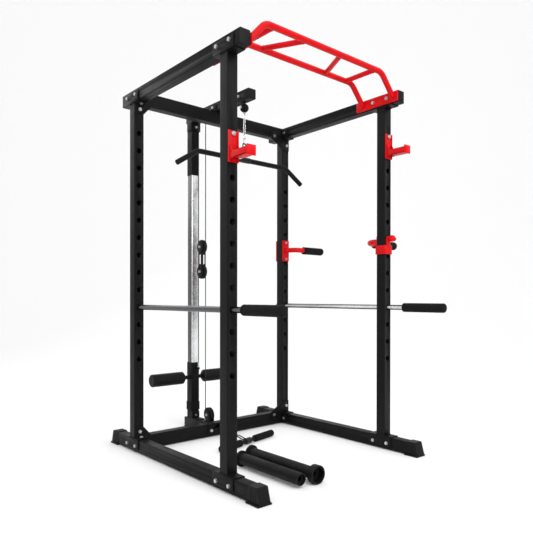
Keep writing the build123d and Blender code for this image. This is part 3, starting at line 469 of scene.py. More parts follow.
# %%
def bolt_tree():
    tree = bpy.data.node_groups.new("Bolt Field", "GeometryNodeTree")
    face = tree.interface
    face.new_socket("Geometry", in_out="INPUT", socket_type="NodeSocketGeometry")
    for label, value in (("Across", 0.0175), ("Head", 0.0065), ("Washer", 0.0205), ("Seed", 7)):
        kind = "NodeSocketInt" if label == "Seed" else "NodeSocketFloat"
        face.new_socket(label, in_out="INPUT", socket_type=kind).default_value = value
    face.new_socket("Finish", in_out="INPUT", socket_type="NodeSocketMaterial")
    face.new_socket("Geometry", in_out="OUTPUT", socket_type="NodeSocketGeometry")
    gin, gout = add(tree, "NodeGroupInput"), add(tree, "NodeGroupOutput")

    def math_node(operation, a, b):
        node = add(tree, "ShaderNodeMath", operation=operation)
        for slot_index, value in enumerate((a, b)):
            if isinstance(value, (int, float)):
                node.inputs[slot_index].default_value = value
            else:
                tree.links.new(value, node.inputs[slot_index])
        return node.outputs[0]

    def disc(sides, diameter_socket, share, depth, offset, name):
        """Prism about Z that starts at the offset; sizes come from sockets."""
        prism = add(tree, "GeometryNodeMeshCylinder", {"Vertices": sides})
        tree.links.new(math_node("MULTIPLY", diameter_socket, 0.5 * share), prism.inputs["Radius"])
        tree.links.new(depth, prism.inputs["Depth"])
        lift = add(tree, "ShaderNodeCombineXYZ")
        tree.links.new(math_node("ADD", math_node("MULTIPLY", depth, 0.5), offset), lift.inputs["Z"])
        move = add(tree, "GeometryNodeTransform")
        move.label = name
        tree.links.new(prism.outputs["Mesh"], move.inputs["Geometry"])
        tree.links.new(lift.outputs["Vector"], move.inputs["Translation"])
        return move.outputs["Geometry"]

    head, across, washer = gin.outputs["Head"], gin.outputs["Across"], gin.outputs["Washer"]
    washer_depth = math_node("MULTIPLY", head, 0.22)
    crown = math_node("MULTIPLY", head, 0.16)
    hexagon_top = math_node("ADD", washer_depth, head)
    parts = [disc(32, washer, 1.0, washer_depth, 0.0, "washer"),
             disc(6, across, 1.155, head, washer_depth, "hexagon"),
             disc(24, across, 0.94, crown, hexagon_top, "crown")]
    join = add(tree, "GeometryNodeJoinGeometry")
    for part in parts:
        tree.links.new(part, join.inputs["Geometry"])
    facing = add(tree, "GeometryNodeInputNamedAttribute", {"Name": "facing"}, data_type="FLOAT_VECTOR")
    align = add(tree, "FunctionNodeAlignRotationToVector", axis="Z")
    tree.links.new(facing.outputs["Attribute"], align.inputs["Vector"])
    spin = add(tree, "FunctionNodeRandomValue", data_type="FLOAT")
    spin.inputs[2].default_value, spin.inputs[3].default_value = 0.0, math.pi / 3
    tree.links.new(gin.outputs["Seed"], spin.inputs["Seed"])
    about = add(tree, "FunctionNodeAxisAngleToRotation", {"Axis": (0, 0, 1)})
    tree.links.new(spin.outputs[1], about.inputs["Angle"])
    turned = add(tree, "FunctionNodeRotateRotation", rotation_space="LOCAL")
    tree.links.new(align.outputs["Rotation"], turned.inputs["Rotation"])
    tree.links.new(about.outputs["Rotation"], turned.inputs["Rotate By"])
    place = add(tree, "GeometryNodeInstanceOnPoints")
    tree.links.new(gin.outputs["Geometry"], place.inputs["Points"])
    tree.links.new(join.outputs["Geometry"], place.inputs["Instance"])
    tree.links.new(turned.outputs["Rotation"], place.inputs["Rotation"])
    real = add(tree, "GeometryNodeRealizeInstances")
    paint = add(tree, "GeometryNodeSetMaterial")
    tree.links.new(place.outputs["Instances"], real.inputs["Geometry"])
    tree.links.new(real.outputs["Geometry"], paint.inputs["Geometry"])
    tree.links.new(gin.outputs["Finish"], paint.inputs["Material"])
    tree.links.new(paint.outputs["Geometry"], gout.inputs["Geometry"])
    return tree


def run_tree(name, tree, points, facing, finish, body, cad=(), **values):
    """Points through a Geometry Nodes tree to a plain mesh."""
    mesh = bpy.data.meshes.new(name)
    mesh.from_pydata([at(*p) for p in points], [], [])
    if facing:
        data = mesh.attributes.new("facing", "FLOAT_VECTOR", "POINT")
        for item, direction in zip(data.data, facing):
            item.vector = direction
    carrier = bpy.data.objects.new(name, mesh)
    bpy.context.scene.collection.objects.link(carrier)
    modifier = carrier.modifiers.new(name, "NODES")
    modifier.node_group = tree
    for item in tree.interface.items_tree:
        if item.in_out == "INPUT" and item.name in values:
            modifier[item.identifier] = values[item.name]
        if item.in_out == "INPUT" and item.name == "Finish":
            modifier[item.identifier] = finish
    view = bpy.context.evaluated_depsgraph_get()
    baked = bpy.data.meshes.new_from_object(carrier.evaluated_get(view))
    carrier.modifiers.clear()
    carrier.data = baked
    for polygon in baked.polygons:
        polygon.use_smooth = True
    baked.set_sharp_from_angle(angle=math.radians(30))
    return settle(carrier, finish, body, *cad)


BOLTS = bolt_tree()
points, facing = [], []
for side in (-1, 1):
    for y in UP_Y:
        for dy in (-50, 50):
            for z in (RAIL_TOP - 35, BEAM_Z + 35):
                inner = 540 if (y < 500 and z > 1000) else 545
                points += [(side * 615, y + dy, z), (side * inner, y + dy, z)]
                facing += [(side, 0, 0), (-side, 0, 0)]
    for x, z in (((578, 116),) if side < 0 else ((585, 124), (470, 73))):
        for zz in (z, BEAM_TOP + 6 - z):
            points.append((side * x, 900, zz))
            facing.append((0, -1, 0))
    points.append((side * 70, 900, 44))
    facing.append((0, -1, 0))
points += [(-UP_X, 878, RAIL_TOP + 10), (-UP_X, 878, BEAM_Z - 10)]
facing += [(0, 0, 1), (0, 0, -1)]
run_tree("frame_bolts_zinc", BOLTS, points, facing, ZINC, "cage", ["frame_bolts"],
         Across=0.0175, Head=0.0057, Washer=0.0205, Seed=3)

points, facing = [], []
for z in (1179, 1295):
    points += [(UP_X, 899, z), (UP_X, 970, z)]
    facing += [(0, -1, 0), (0, 1, 0)]
points += [(0, MAST_Y - 35, 88), (0, MAST_Y - 35, BEAM_TOP - 34), (-30, 1052, 46), (30, 1052, 46)]
facing += [(0, -1, 0), (0, -1, 0), (-1, 0, 0), (1, 0, 0)]
for side in (-1, 1):
    points += [(side * 35, 935, BEAM_TOP + 28), (side * 54, 935, BEAM_TOP + 5)]
    facing += [(side, 0, 0), (0, 0, 1)]
run_tree("small_bolts_zinc", BOLTS, points, facing, ZINC, "cage", ["small_bolts"],
         Across=0.0140, Head=0.0052, Washer=0.0164, Seed=5)

points = [(-30, LAT_Y + 19, LAT_Z), (30, LAT_Y + 19, LAT_Z), (-30, REAR_RUN - 19, LAT_Z),
          (30, REAR_RUN - 19, LAT_Z),
          (-17, LOW_Y, LOW_Z), (17, LOW_Y, LOW_Z)]
facing = [(-1, 0, 0), (1, 0, 0)] * 3
run_tree("pulley_axle_bolts", BOLTS, points, facing, ZINC, "cage", ["pulley_axles"],
         Across=0.0140, Head=0.0052, Washer=0.0164, Seed=9)
points = [(s * 17, BLOCK_Y, z) for z in (BLOCK_LOW_Z, BLOCK_HIGH_Z) for s in (-1, 1)]
run_tree("block_bolts_zinc", BOLTS, points, [(-1, 0, 0), (1, 0, 0)] * 2, ZINC, "pulley_block",
         ["block_bolts"],
         Across=0.0150, Head=0.0055, Washer=0.0180, Seed=2)
print("bolts placed on the frame, tower and block")

# %% [markdown]
# ## Shoes and pad
# A shoe wraps the end of a base rail: slanted nose, thick sole with a lip, and three shallow ribs on each
# flank, all as one piece.

# %%
def shoe(piece, side, end):
    x, mid = side * UP_X, 482.5

    def y(v):
        return mid + end * (mid - v)

    def section(half_w, top, low):
        """Slanted block between two heights, as four rings from the sole up."""
        front0, front1, back0, back1 = -237.0, -215.0, -145.0, -157.0
        rings = []
        for z in (low, low + 2, top - 3, top):
            t = z / 80
            inset = 2.0 if z in (low, top) else 0.0
            f, b = front0 + (front1 - front0) * t + inset, back0 + (back1 - back0) * t - inset
            w = half_w - inset
            rings.append([(x - w, y(f), z), (x + w, y(f), z), (x + w, y(b), z), (x - w, y(b), z)])
        return rings

    piece.rings(section(32.0, 80.0, 8.9))
    y0, y1 = sorted((y(-147), y(-235)))
    piece.box(x - 40, x + 40, y0, y1, 0, 9, r=1.6)
    for s in (-1, 1):
        for k in range(3):
            yy = y(-170 - 18 * k)
            piece.box(x + s * 31.8 - 1.2, x + s * 31.8 + 1.2, yy - 3, yy + 3, 14, 70, r=0.8)


shoes = Piece("foot_shoes")
for side in (-1, 1):
    for end in (-1, 1):
        shoe(shoes, side, end)
shoes.box(-35, 35, MAST_Y - 10, MAST_Y + 61, 0, 6, r=1.2)
shoes.done(PLASTIC, "cage", "foot_caps")
print("shoes and pad made")

# %% [markdown]
# ## Safety bars, grips and handles
# A grip is turned from a profile: closed dome at the outer end, a few moulded rings, and a flared collar
# where it meets the steel. The bars are chrome tube with a rolled inner end.


# %%
def grip_profile(radius, length, bore, dome=14.0, rings=0):
    """Profile of a hollow grip: from the bore's mouth at offset 0 to the domed end at offset length."""
    points = [(bore, 0.0), (radius - 3, 0.0), (radius - 1, 1.0), (radius, 3.0)]
    for k in range(rings):
        s = 8.0 + k * 6.0
        points += [(radius, s), (radius - 1.0, s + 0.8), (radius - 1.0, s + 2.2), (radius, s + 3.0)]
    for k in range(7):
        a = math.pi / 2 * k / 6
        points.append((radius - dome + dome * math.cos(a), length - dome + dome * math.sin(a)))
    points.append((0.0, length))
    return points


for name, side, grip_front in (("left", -1, -354.0), ("right", 1, -384.0)):
    x = side * UP_X
    bar = Piece("safety_bar_" + name + "_chrome")
    bar.lathe((x, 992, SAFETY_Z), (0, -1, 0), [(12.5, 120.0), (12.5, 1.2), (13.2, 0.2), (14.2, 0.0),
                                               (15.0, 1.0),
                                               (15.0, 986 - grip_front), (12.6, 986 - grip_front)], 48)
    bar.done(CHROME, "safety_" + name, "safety_bar_" + name)
    grip = Piece("safety_grip_" + name + "_rubber")
    grip.lathe((x, grip_front + 268, SAFETY_Z), (0, -1, 0), grip_profile(26.0, 268.0, 15.05, 9.0, rings=3),
               56)
    grip.done(RUBBER, "safety_" + name, "safety_grip_" + name)

grips = Piece("dip_grips_foam")
for x1, y in ((UP_X + 270, 802.0), (UP_X + 290, 165.0)):
    x0 = UP_X + 78
    grips.lathe((x0, y, DIP_Z - 3), (1, 0, 0), grip_profile(26.0, x1 - x0, 17.05, 14.0, rings=2), 56)
grips.done(FOAM, "cage", "dip_grips")

knob = Piece("dip_lock_knob")
z_pin = 1251.2
knob.lathe((UP_X, 16, z_pin), (0, -1, 0), [(0, 0), (7.5, 0), (9, 1.5), (9, 30)], 32)
knob.lathe((UP_X, -32, z_pin + 2), (0, -1, 0),
           [(20 * math.sin(math.pi * k / 20), -20 * math.cos(math.pi * k / 20)) for k in range(21)], 40)
knob.lathe((UP_X + 22, -30, z_pin), (0, -1, 0),
           [(13 * math.sin(math.pi * k / 14), -13 * math.cos(math.pi * k / 14)) for k in range(15)], 32)
knob.done(RED, "dip_pin", "dip_lock_pin")
print("bars, grips and knob made")

# %% [markdown]
# ## J-hooks
# A J-hook is a bent plate with a box arm welded to it. The back plate is a shallow channel: its two long
# edges fold away from the upright. The arm is open below, and its lip stands up at the front.


# %%
def j_hook(name, side, hole_z):
    x, top, low = side * UP_X, hole_z + 14, hole_z - 133
    hook = Piece("j_hook_" + name + "_red")
    hook.box(x - 29, x + 29, -6, -1, low, top, r=1.2)
    for s in (-1, 1):
        hook.box(x + s * 26.5 - 2.5, x + s * 26.5 + 2.5, -11, -5, low, top, r=1.2)
        hook.box(x + s * 23 - 2, x + s * 23 + 2, -132, -6, hole_z - 118, hole_z - 87, r=0.8)
        rib = [(-11, hole_z - 87), (-11, hole_z - 53), (-14, hole_z - 53), (-30, hole_z - 85),
               (-30, hole_z - 87)]
        rows = [[(x + s * 23 + dx, y, z) for y, z in rib] for dx in (-2, 2)]
        hook.rings(rows)
    hook.box(x - 25, x + 25, -132, -6, hole_z - 89, hole_z - 85, r=1.0)
    hook.box(x - 25, x + 25, -141, -131.5, hole_z - 123, hole_z - 76, r=2.0)
    hook.box(x - 25, x + 25, -132, -40, hole_z - 118, hole_z - 114, r=0.8)
    hook.lathe((x, 70, hole_z), (0, -1, 0), [(0, 0), (10, 0), (12, 2.5), (12, 74)], 36)
    hook.done(RED, "hook_" + name, "j_hook_" + name)
    end = Piece("j_hook_" + name + "_pin_end")
    end.lathe((x, -5, hole_z), (0, -1, 0), [(12.5, 0), (12.5, 3.0), (11.5, 6.5), (10.0, 8.6), (0, 9.0)], 36)
    end.done(ZINC, "hook_" + name)
    run_tree("j_hook_" + name + "_bolt", BOLTS, [(x, -60, hole_z - 118)], [(0, 0, -1)], ZINC, "hook_" + name,
             Across=0.0140, Head=0.0052, Washer=0.0160, Seed=4)


j_hook("left", -1, 1657.6)
j_hook("right", 1, 1860.8)
print("J-hooks made")

# %% [markdown]
# ## Pulleys
# A pulley is one closed profile turned about its axle: a hub that stands proud, a thin web, a rim and a
# round groove. The web carries shallow ribs.


# %%
def pulley(name, y, z, radius, pitch, width, body, cad):
    wheel = Piece(name)
    half, hub = width / 2, radius * 0.28
    bore = 4.6
    outer = [(bore, -half), (hub, -half), (hub, -half + 2.5), (pitch - 10, -half + 3.5),
             (pitch - 8, -half + 0.6),
             (radius - 1.2, -half + 0.4), (radius, -half + 1.6), (radius, -3.7)]
    if radius < 30:
        outer = [(bore, -half), (radius - 1, -half), (radius, -half + 1), (radius, -3.7)]
    groove = []
    for k in range(9):
        a = math.pi * k / 8
        across = -4.0 * math.cos(a) if 0 < k < 8 else (-3.7 if k == 0 else 3.7)
        groove.append((pitch + 0.5 - 4.0 * math.sin(a), across))
    mirrored = [(r, -o) for r, o in outer[::-1]]
    wheel.lathe((0, y, z), (1, 0, 0), outer + groove + mirrored, 64, loop=True)
    if radius > 30:
        for k in range(6):
            a = 2 * math.pi * k / 6
            c, s = math.cos(a), math.sin(a)
            for side in (-1, 1):
                r0, r1 = hub - 1, pitch - 9
                rows = []
                for r in (r0, r1):
                    cy, cz = y + r * c, z + r * s
                    rows.append([(side * (half - 4.2), cy - 1.5 * s, cz + 1.5 * c),
                                 (side * (half - 4.2), cy + 1.5 * s, cz - 1.5 * c),
                                 (side * (half - 1.5), cy + 1.5 * s, cz - 1.5 * c),
                                 (side * (half - 1.5), cy - 1.5 * s, cz + 1.5 * c)])
                wheel.rings(rows)
    wheel.done(PLASTIC, body, cad)


pulley("low_pulley_wheel", LOW_Y, LOW_Z, PULLEY_R, PITCH_R, 22, "low_wheel", "low_pulley")
pulley("block_pulley_upper_wheel", BLOCK_Y, BLOCK_HIGH_Z, PULLEY_R, PITCH_R, 22, "block_wheel_upper",
       "block_pulley_upper")
pulley("block_pulley_lower_wheel", BLOCK_Y, BLOCK_LOW_Z, PULLEY_R, PITCH_R, 22, "block_wheel_lower",
       "block_pulley_lower")
pulley("top_pulley_front_wheel", LAT_Y + 19, LAT_Z, 24, 19, 14, "top_wheel_front", "top_pulley_front")
pulley("top_pulley_rear_wheel", REAR_RUN - 19, LAT_Z, 24, 19, 14, "top_wheel_rear", "top_pulley_rear")
print("five pulleys made")

# %% [markdown]
# ## Cables
# Both cables follow one route each. A length that stays put rides on one body. A straight fall between two
# bodies is baked in place and rides on no body. The fall from the carriage up to the floating block ends on a
# body that moves half as far, so it is cut in five.


# %%
def cable(name, points, radii, body, *cad, dense=0):
    route = rounded_route(points, radii, 14) if len(points) > 2 else [Vector(p) for p in points]
    if dense:
        a, b = route[0], route[-1]
        route = [a.lerp(b, k / dense) for k in range(dense + 1)]
    made = Piece(name)
    made.sweep(route, round_profile(CABLE_R, 12), up=(1, 0, 0))
    return made.done(CABLE, body, *cad)


TOP = LAT_Z + 19
cable("lat_cable_over_pulleys", [(0, LAT_Y, LAT_Z), (0, LAT_Y, TOP), (0, REAR_RUN, TOP),
                                 (0, REAR_RUN, LAT_Z)], 18.99,
      "cage", "cable_fixed_runs")
SLOT_Z = LOW_Z - PITCH_R
cable("row_cable_under_pulley", [(0, 915, SLOT_Z), (0, REAR_RUN, SLOT_Z), (0, REAR_RUN, LOW_Z)], 42.49,
      "cage")
drop = cable("lat_cable_drop_line", [(0, LAT_Y, LAT_Z), (0, LAT_Y, LAT_STOP_Z + 10)], 0, None,
             "lat_cable_drop", dense=24)
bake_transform(drop)
cable("block_wrap_upper", [(0, REAR_RUN, BLOCK_HIGH_Z + 1), (0, REAR_RUN, BLOCK_HIGH_Z - PITCH_R),
                           (0, UP_RUN, BLOCK_HIGH_Z - PITCH_R), (0, UP_RUN, BLOCK_HIGH_Z + 1)], 42.49,
                           "pulley_block")
cable("block_wrap_lower", [(0, REAR_RUN, BLOCK_LOW_Z - 1), (0, REAR_RUN, BLOCK_LOW_Z + PITCH_R),
                           (0, UP_RUN, BLOCK_LOW_Z + PITCH_R), (0, UP_RUN, BLOCK_LOW_Z - 1)], 42.49,
                           "pulley_block")
for name, y, cad in (("lat_fall_front", REAR_RUN, ["lat_cable_loop"]), ("lat_fall_rear", UP_RUN, [])):
    fall = cable(name, [(0, y, LAT_Z), (0, y, BLOCK_HIGH_Z)], 0, None, *cad, dense=40)
    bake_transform(fall)
fall = cable("row_fall_front", [(0, REAR_RUN, LOW_Z), (0, REAR_RUN, BLOCK_LOW_Z)], 0, None, "row_cable_loop",
             dense=40)
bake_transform(fall)
lug_z = 180 + 272 - 30
PARTS = 5
for k in range(PARTS):
    low, high = [lug_z + (BLOCK_LOW_Z - lug_z) * j / PARTS for j in (k, k + 1)]
    fall = cable("row_fall_rear_%d" % (k + 1), [(0, UP_RUN, low), (0, UP_RUN, high)], 0, None, dense=12)
    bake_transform(fall)
draw = cable("row_cable_draw_line", [(0, 915, SLOT_Z), (0, 879, SLOT_Z)], 0, None, "row_cable_draw", dense=24)
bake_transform(draw)
ends = Piece("cable_ferrules")
ends.lathe((0, UP_RUN, LAT_Z + 8), (0, 0, -1), [(0, 0), (6, 0), (7, 1), (7, 24), (4, 26), (3.1, 26)], 24)
ends.done(ZINC, "cage")
swage = Piece("carriage_swage")
swage.lathe((0, UP_RUN, lug_z), (0, 0, 1), [(3.1, 34), (4.2, 34), (5.0, 32), (5.0, 6), (7.0, 4), (7.0, 0.5)],
            24)
swage.done(ZINC, "carriage")
print("cables made")

# %% [markdown]
# ## Chains with Geometry Nodes
# A link is a rounded rectangle swept by a circle. The tree repeats it along Z and turns every second one a
# quarter, so that each link threads through the next. Length, width, wire and count are inputs.


# %%
def chain_tree():
    tree = bpy.data.node_groups.new("Chain", "GeometryNodeTree")
    face = tree.interface
    for label, kind, value in (("Count", "NodeSocketInt", 6), ("Step", "NodeSocketFloat", 0.03),
                               ("Wire", "NodeSocketFloat", 0.0025),
                               ("Width", "NodeSocketFloat", 0.018), ("Length", "NodeSocketFloat", 0.04)):
        face.new_socket(label, in_out="INPUT", socket_type=kind).default_value = value
    face.new_socket("Finish", in_out="INPUT", socket_type="NodeSocketMaterial")
    face.new_socket("Geometry", in_out="OUTPUT", socket_type="NodeSocketGeometry")
    gin, gout = add(tree, "NodeGroupInput"), add(tree, "NodeGroupOutput")

    def calc(operation, a, b=0.0):
        node = add(tree, "ShaderNodeMath", operation=operation)
        for i, value in enumerate((a, b)):
            if isinstance(value, (int, float)):
                node.inputs[i].default_value = value
            else:
                tree.links.new(value, node.inputs[i])
        return node.outputs[0]

    wire = gin.outputs["Wire"]
    around = add(tree, "GeometryNodeCurvePrimitiveQuadrilateral")
    tree.links.new(calc("SUBTRACT", gin.outputs["Width"], calc("MULTIPLY", wire, 2.0)),
                   around.inputs["Width"])
    tree.links.new(calc("SUBTRACT", gin.outputs["Length"], calc("MULTIPLY", wire, 2.0)),
                   around.inputs["Height"])
    bend = add(tree, "GeometryNodeFilletCurve", {"Count": 10}, mode="POLY")
    tree.links.new(around.outputs["Curve"], bend.inputs["Curve"])
    tree.links.new(calc("SUBTRACT", calc("MULTIPLY", gin.outputs["Width"], 0.4999), wire),
                   bend.inputs["Radius"])
    section = add(tree, "GeometryNodeCurvePrimitiveCircle", {"Resolution": 14})
    tree.links.new(wire, section.inputs["Radius"])
    skin = add(tree, "GeometryNodeCurveToMesh")
    tree.links.new(bend.outputs["Curve"], skin.inputs["Curve"])
    tree.links.new(section.outputs["Curve"], skin.inputs["Profile Curve"])
    stand = add(tree, "GeometryNodeTransform", {"Rotation": (math.pi / 2, 0, 0)})
    tree.links.new(skin.outputs["Mesh"], stand.inputs["Geometry"])
    line = add(tree, "GeometryNodeMeshLine")
    offset = add(tree, "ShaderNodeCombineXYZ")
    start = add(tree, "ShaderNodeCombineXYZ")
    tree.links.new(gin.outputs["Step"], offset.inputs["Z"])
    tree.links.new(calc("MULTIPLY", gin.outputs["Step"], 0.5), start.inputs["Z"])
    tree.links.new(gin.outputs["Count"], line.inputs["Count"])
    tree.links.new(offset.outputs["Vector"], line.inputs["Offset"])
    tree.links.new(start.outputs["Vector"], line.inputs["Start Location"])
    index = add(tree, "GeometryNodeInputIndex")
    quarter = add(tree, "ShaderNodeCombineXYZ")
    tree.links.new(calc("MULTIPLY", calc("MODULO", index.outputs["Index"], 2.0), math.pi / 2),
                   quarter.inputs["Z"])
    place = add(tree, "GeometryNodeInstanceOnPoints")
    tree.links.new(line.outputs["Mesh"], place.inputs["Points"])
    tree.links.new(stand.outputs["Geometry"], place.inputs["Instance"])
    tree.links.new(quarter.outputs["Vector"], place.inputs["Rotation"])
    real = add(tree, "GeometryNodeRealizeInstances")
    paint = add(tree, "GeometryNodeSetMaterial")
    tree.links.new(place.outputs["Instances"], real.inputs["Geometry"])
    tree.links.new(real.outputs["Geometry"], paint.inputs["Geometry"])
    tree.links.new(gin.outputs["Finish"], paint.inputs["Material"])
    tree.links.new(paint.outputs["Geometry"], gout.inputs["Geometry"])
    return tree


def chain(name, start, end, count, body, wire=2.5, width=18.0):
    """Links from start to end, baked, turned to the run and moved into place."""
    start, end = Vector(start), Vector(end)
    step = (end - start).length / count
    made = run_tree(name, CHAIN, [(0, 0, 0)], None, CHROME, None, Count=count, Step=step / 1000,
                    Wire=wire / 1000,
                    Width=width / 1000, Length=(step + 4 * wire + 0.1) / 1000)
    run = (end - start).normalized()
    across = Vector((1, 0, 0))
    turn = Matrix((across, run.cross(across), run)).transposed().to_4x4()
    made.data.transform(Matrix.Translation(at(*start)) @ turn)
    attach(made, body)
    return made


def link(piece, centre, direction, across, length, width, wire):
    """One closed link: a stadium route swept by a circle."""
    centre, d, a = Vector(centre), Vector(direction).normalized(), Vector(across).normalized()
    mid, half = width / 2 - wire, length / 2 - width / 2
    route = []
    for s, sign in ((0, 1), (1, -1)):
        for k in range(13):
            t = math.pi * k / 12
            route.append(centre + a * sign * mid * math.cos(t) + d * sign * (half + mid * math.sin(t)))
    piece.sweep(route, round_profile(wire, 14), up=d.cross(a), loop=True)


CHAIN = chain_tree()
chain("lat_chain_links", (0, LAT_Y, LAT_STOP_Z - 36.3), (0, LAT_Y, LAT_BAR_Z + 100), 6, "lat_handle")
HOOK_NEAR, HOOK_FAR = Vector((0, ROW_Y + 22.9, ROW_Z + 2.2)), Vector((0, ROW_Y + 96.3, ROW_Z + 15.1))
stop_eye = Vector((0, 845, SLOT_Z))
pull = (HOOK_FAR - stop_eye).normalized()
chain("row_chain_links", stop_eye + pull * 3.2, HOOK_FAR + pull * 3.7, 4, "row_handle")

# %% [markdown]
# ## Lat bar and low-row bar
# Each bar hangs from a rubber ball, a chain and a snap hook. The ball stops the cable under the beam; the
# lat bar's ends slope down, and the row bar carries two thick grips.


# %%
def ball_stop(name, centre, radius, along, cad, body):
    """Split rubber ball with a seam, a cable hole on one side and a steel lug on the other."""
    centre, along = Vector(centre), Vector(along)
    ball = Piece(name)
    profile = []
    for k in range(33):
        a = math.pi * k / 32
        r = radius * math.sin(a)
        if k == 16:
            r -= 1.0
        profile.append((max(r, 3.2 if k > 24 else 0.0), -radius * math.cos(a)))
    ball.lathe(centre, along, profile, 48)
    ball.done(RUBBER, body, cad)
    lug = Piece(name + "_lug")
    tip = centre - along * (radius + 6)
    lug.lathe(tip - Vector((2, 0, 0)), (1, 0, 0), [(5.4, 0), (8.0, 0), (8.5, 0.5), (8.5, 3.5), (8.0, 4.0),
                                                   (5.4, 4.0)],
              28, loop=True)
    lug.done(ZINC, body)


ball_stop("lat_ball", (0, LAT_Y, LAT_STOP_Z), 27, (0, 0, 1), "lat_ball_stop", "lat_stop")
screw = Piece("lat_ball_clamp")
screw.lathe((-20, LAT_Y, LAT_STOP_Z), (-1, 0, 0), [(0, 0), (7, 0), (7, 6), (9, 7), (9, 12), (8, 13),
                                                   (0, 13)], 28)
screw.done(ZINC, "lat_stop")
ball_stop("row_ball", (0, 874, SLOT_Z), 23, (0, 1, 0), "row_ball_stop", "row_handle")

hardware = Piece("lat_hook_and_sleeve")
top, bottom = LAT_BAR_Z + 107.6, LAT_BAR_Z + 17.5
link(hardware, (0, LAT_Y, (top + bottom) / 2), (0, 0, 1), (1, 0, 0), top - bottom, 30, 3.8)
hardware.box(9.2, 16.8, LAT_Y - 5.5, LAT_Y + 5.5, LAT_BAR_Z + 50, LAT_BAR_Z + 78, r=1.5)
hardware.lathe((-3, LAT_Y, LAT_BAR_Z + 21.7), (1, 0, 0),
               [(4.9, 0), (10.2, 0), (11, 0.8), (11, 5.2), (10.2, 6), (4.9, 6)],
               32, loop=True)
hardware.lathe((-40, LAT_Y, LAT_BAR_Z), (1, 0, 0), [(15.05, 0), (16.7, 0), (17.5, 0.8), (17.5, 79.2),
                                                    (16.7, 80), (15.05, 80)],
               48, loop=True)
hardware.done(DARK_STEEL, "lat_handle", "lat_chain")

bend, tip, down = 342.0, 480.0, 88.0
bar = Piece("lat_bar_tube")
route = rounded_route([(-tip, LAT_Y, LAT_BAR_Z - down), (-bend, LAT_Y, LAT_BAR_Z), (bend, LAT_Y, LAT_BAR_Z),
                       (tip, LAT_Y, LAT_BAR_Z - down)], 70, 12)
bar.sweep(route, round_profile(15.0, 36), up=(0, 1, 0))
bar.done(BLACK, "lat_handle", "lat_bar")
run = math.hypot(tip - bend, down)
plugs = Piece("lat_bar_plugs")
for side in (-1, 1):
    out = Vector((side * (tip - bend) / run, 0, -down / run))
    plugs.lathe((side * tip, LAT_Y, LAT_BAR_Z - down), out,
                [(0, -1), (14.6, 0), (15.0, 0.4), (15, 1.6), (13.6, 3.0), (0, 3.0)],
                36)
plugs.done(PLASTIC, "lat_handle", "lat_bar_caps")

hardware = Piece("row_snap_hook")
link(hardware, (HOOK_NEAR + HOOK_FAR) / 2, HOOK_FAR - HOOK_NEAR, (1, 0, 0), 82.1, 30, 3.8)
hardware.done(DARK_STEEL, "row_handle", "row_chain")
lie = math.radians(13)                # the bar lies turned about its eye, left end forward
along = Vector((math.cos(lie), math.sin(lie), 0))
eye = Vector((0, ROW_Y + 22.5, ROW_Z))
middle = eye + Vector((22.5 * math.sin(lie), -22.5 * math.cos(lie), 0))
hardware = Piece("row_sleeve")
hardware.lathe(eye + Vector((0, 0, 2)) - along * 3, along,
               [(5.6, 0), (10.7, 0), (11.5, 0.8), (11.5, 5.2), (10.7, 6), (5.6, 6)],
               32, loop=True)
hardware.lathe(middle - along * 24, along, [(12.55, 0), (17.7, 0), (18.5, 0.8), (18.5, 47.2), (17.7, 48),
                                            (12.55, 48)],
               40, loop=True)
hardware.done(DARK_STEEL, "row_handle")
rod = Piece("row_bar_rod")
rod.lathe(middle - along * 248, along, [(0, 0), (12, 0), (12.5, 0.5), (12.5, 495.5), (12, 496), (0, 496)], 36)
rod.done(BLACK, "row_handle", "row_bar")
grips = Piece("row_bar_grips_foam")
for side in (-1, 1):
    grips.lathe(middle + along * side * 66, along * side, grip_profile(21.0, 187, 12.55, 7.0, rings=1), 48)
grips.done(FOAM, "row_handle", "row_bar_grips")
print("lat bar and row bar made")

# %% [markdown]
# ## Weight sleeves and the loose sleeves
# The carriage's sleeves narrow to a cone on the inside. The loose ones are hollow, with a flange at the
# rear; the right one also has a wide mouth.

# %%
sleeves = Piece("carriage_sleeves_black")
for side in (-1, 1):
    profile = [(13.05, 0), (24, 0), (26, 1.5), (41, 15.0), (42, 17.5), (42, 243), (41, 247.5), (38, 250),
               (31, 251),
               (31, 249), (16, 248.5), (0, 248.5)]
    sleeves.lathe((side * 74, MAST_Y, HORN_Z), (side, 0, 0), profile, 56)
sleeves.done(PLASTIC, "carriage", "carriage_sleeves")

loose = Piece("adapter_left_black")
loose.lathe((-302, 292, 42), (0, -1, 0), [(14.5, 0), (40.5, 0), (42, 1.5), (42, 12.5), (40.5, 14),
                                          (31.5, 14), (30, 15.5),
                                          (30, 462), (28.5, 464), (24, 464), (24, 452), (14.5, 450)], 56,
                                          loop=True)
loose.done(PLASTIC, "adapter_left", "adapter_sleeve_left")
loose = Piece("adapter_right_black")
loose.lathe((-200, 334, 46), (0, -1, 0), [(14.5, 0), (40.5, 0), (42, 1.5), (42, 12.5), (40.5, 14),
                                          (31.5, 14), (30, 15.5),
                                          (30, 482), (44.5, 484), (46, 485.5), (46, 518.5), (44.5, 520),
                                          (39.5, 520),
                                          (38, 518.5), (38, 488), (14.5, 487)], 64, loop=True)
loose.done(PLASTIC, "adapter_right", "adapter_sleeve_right")
print("sleeves made")

# %% [markdown]
# ## Welds
# A weld bead is a thin tube along the joint whose radius ripples, like overlapping drops of metal.


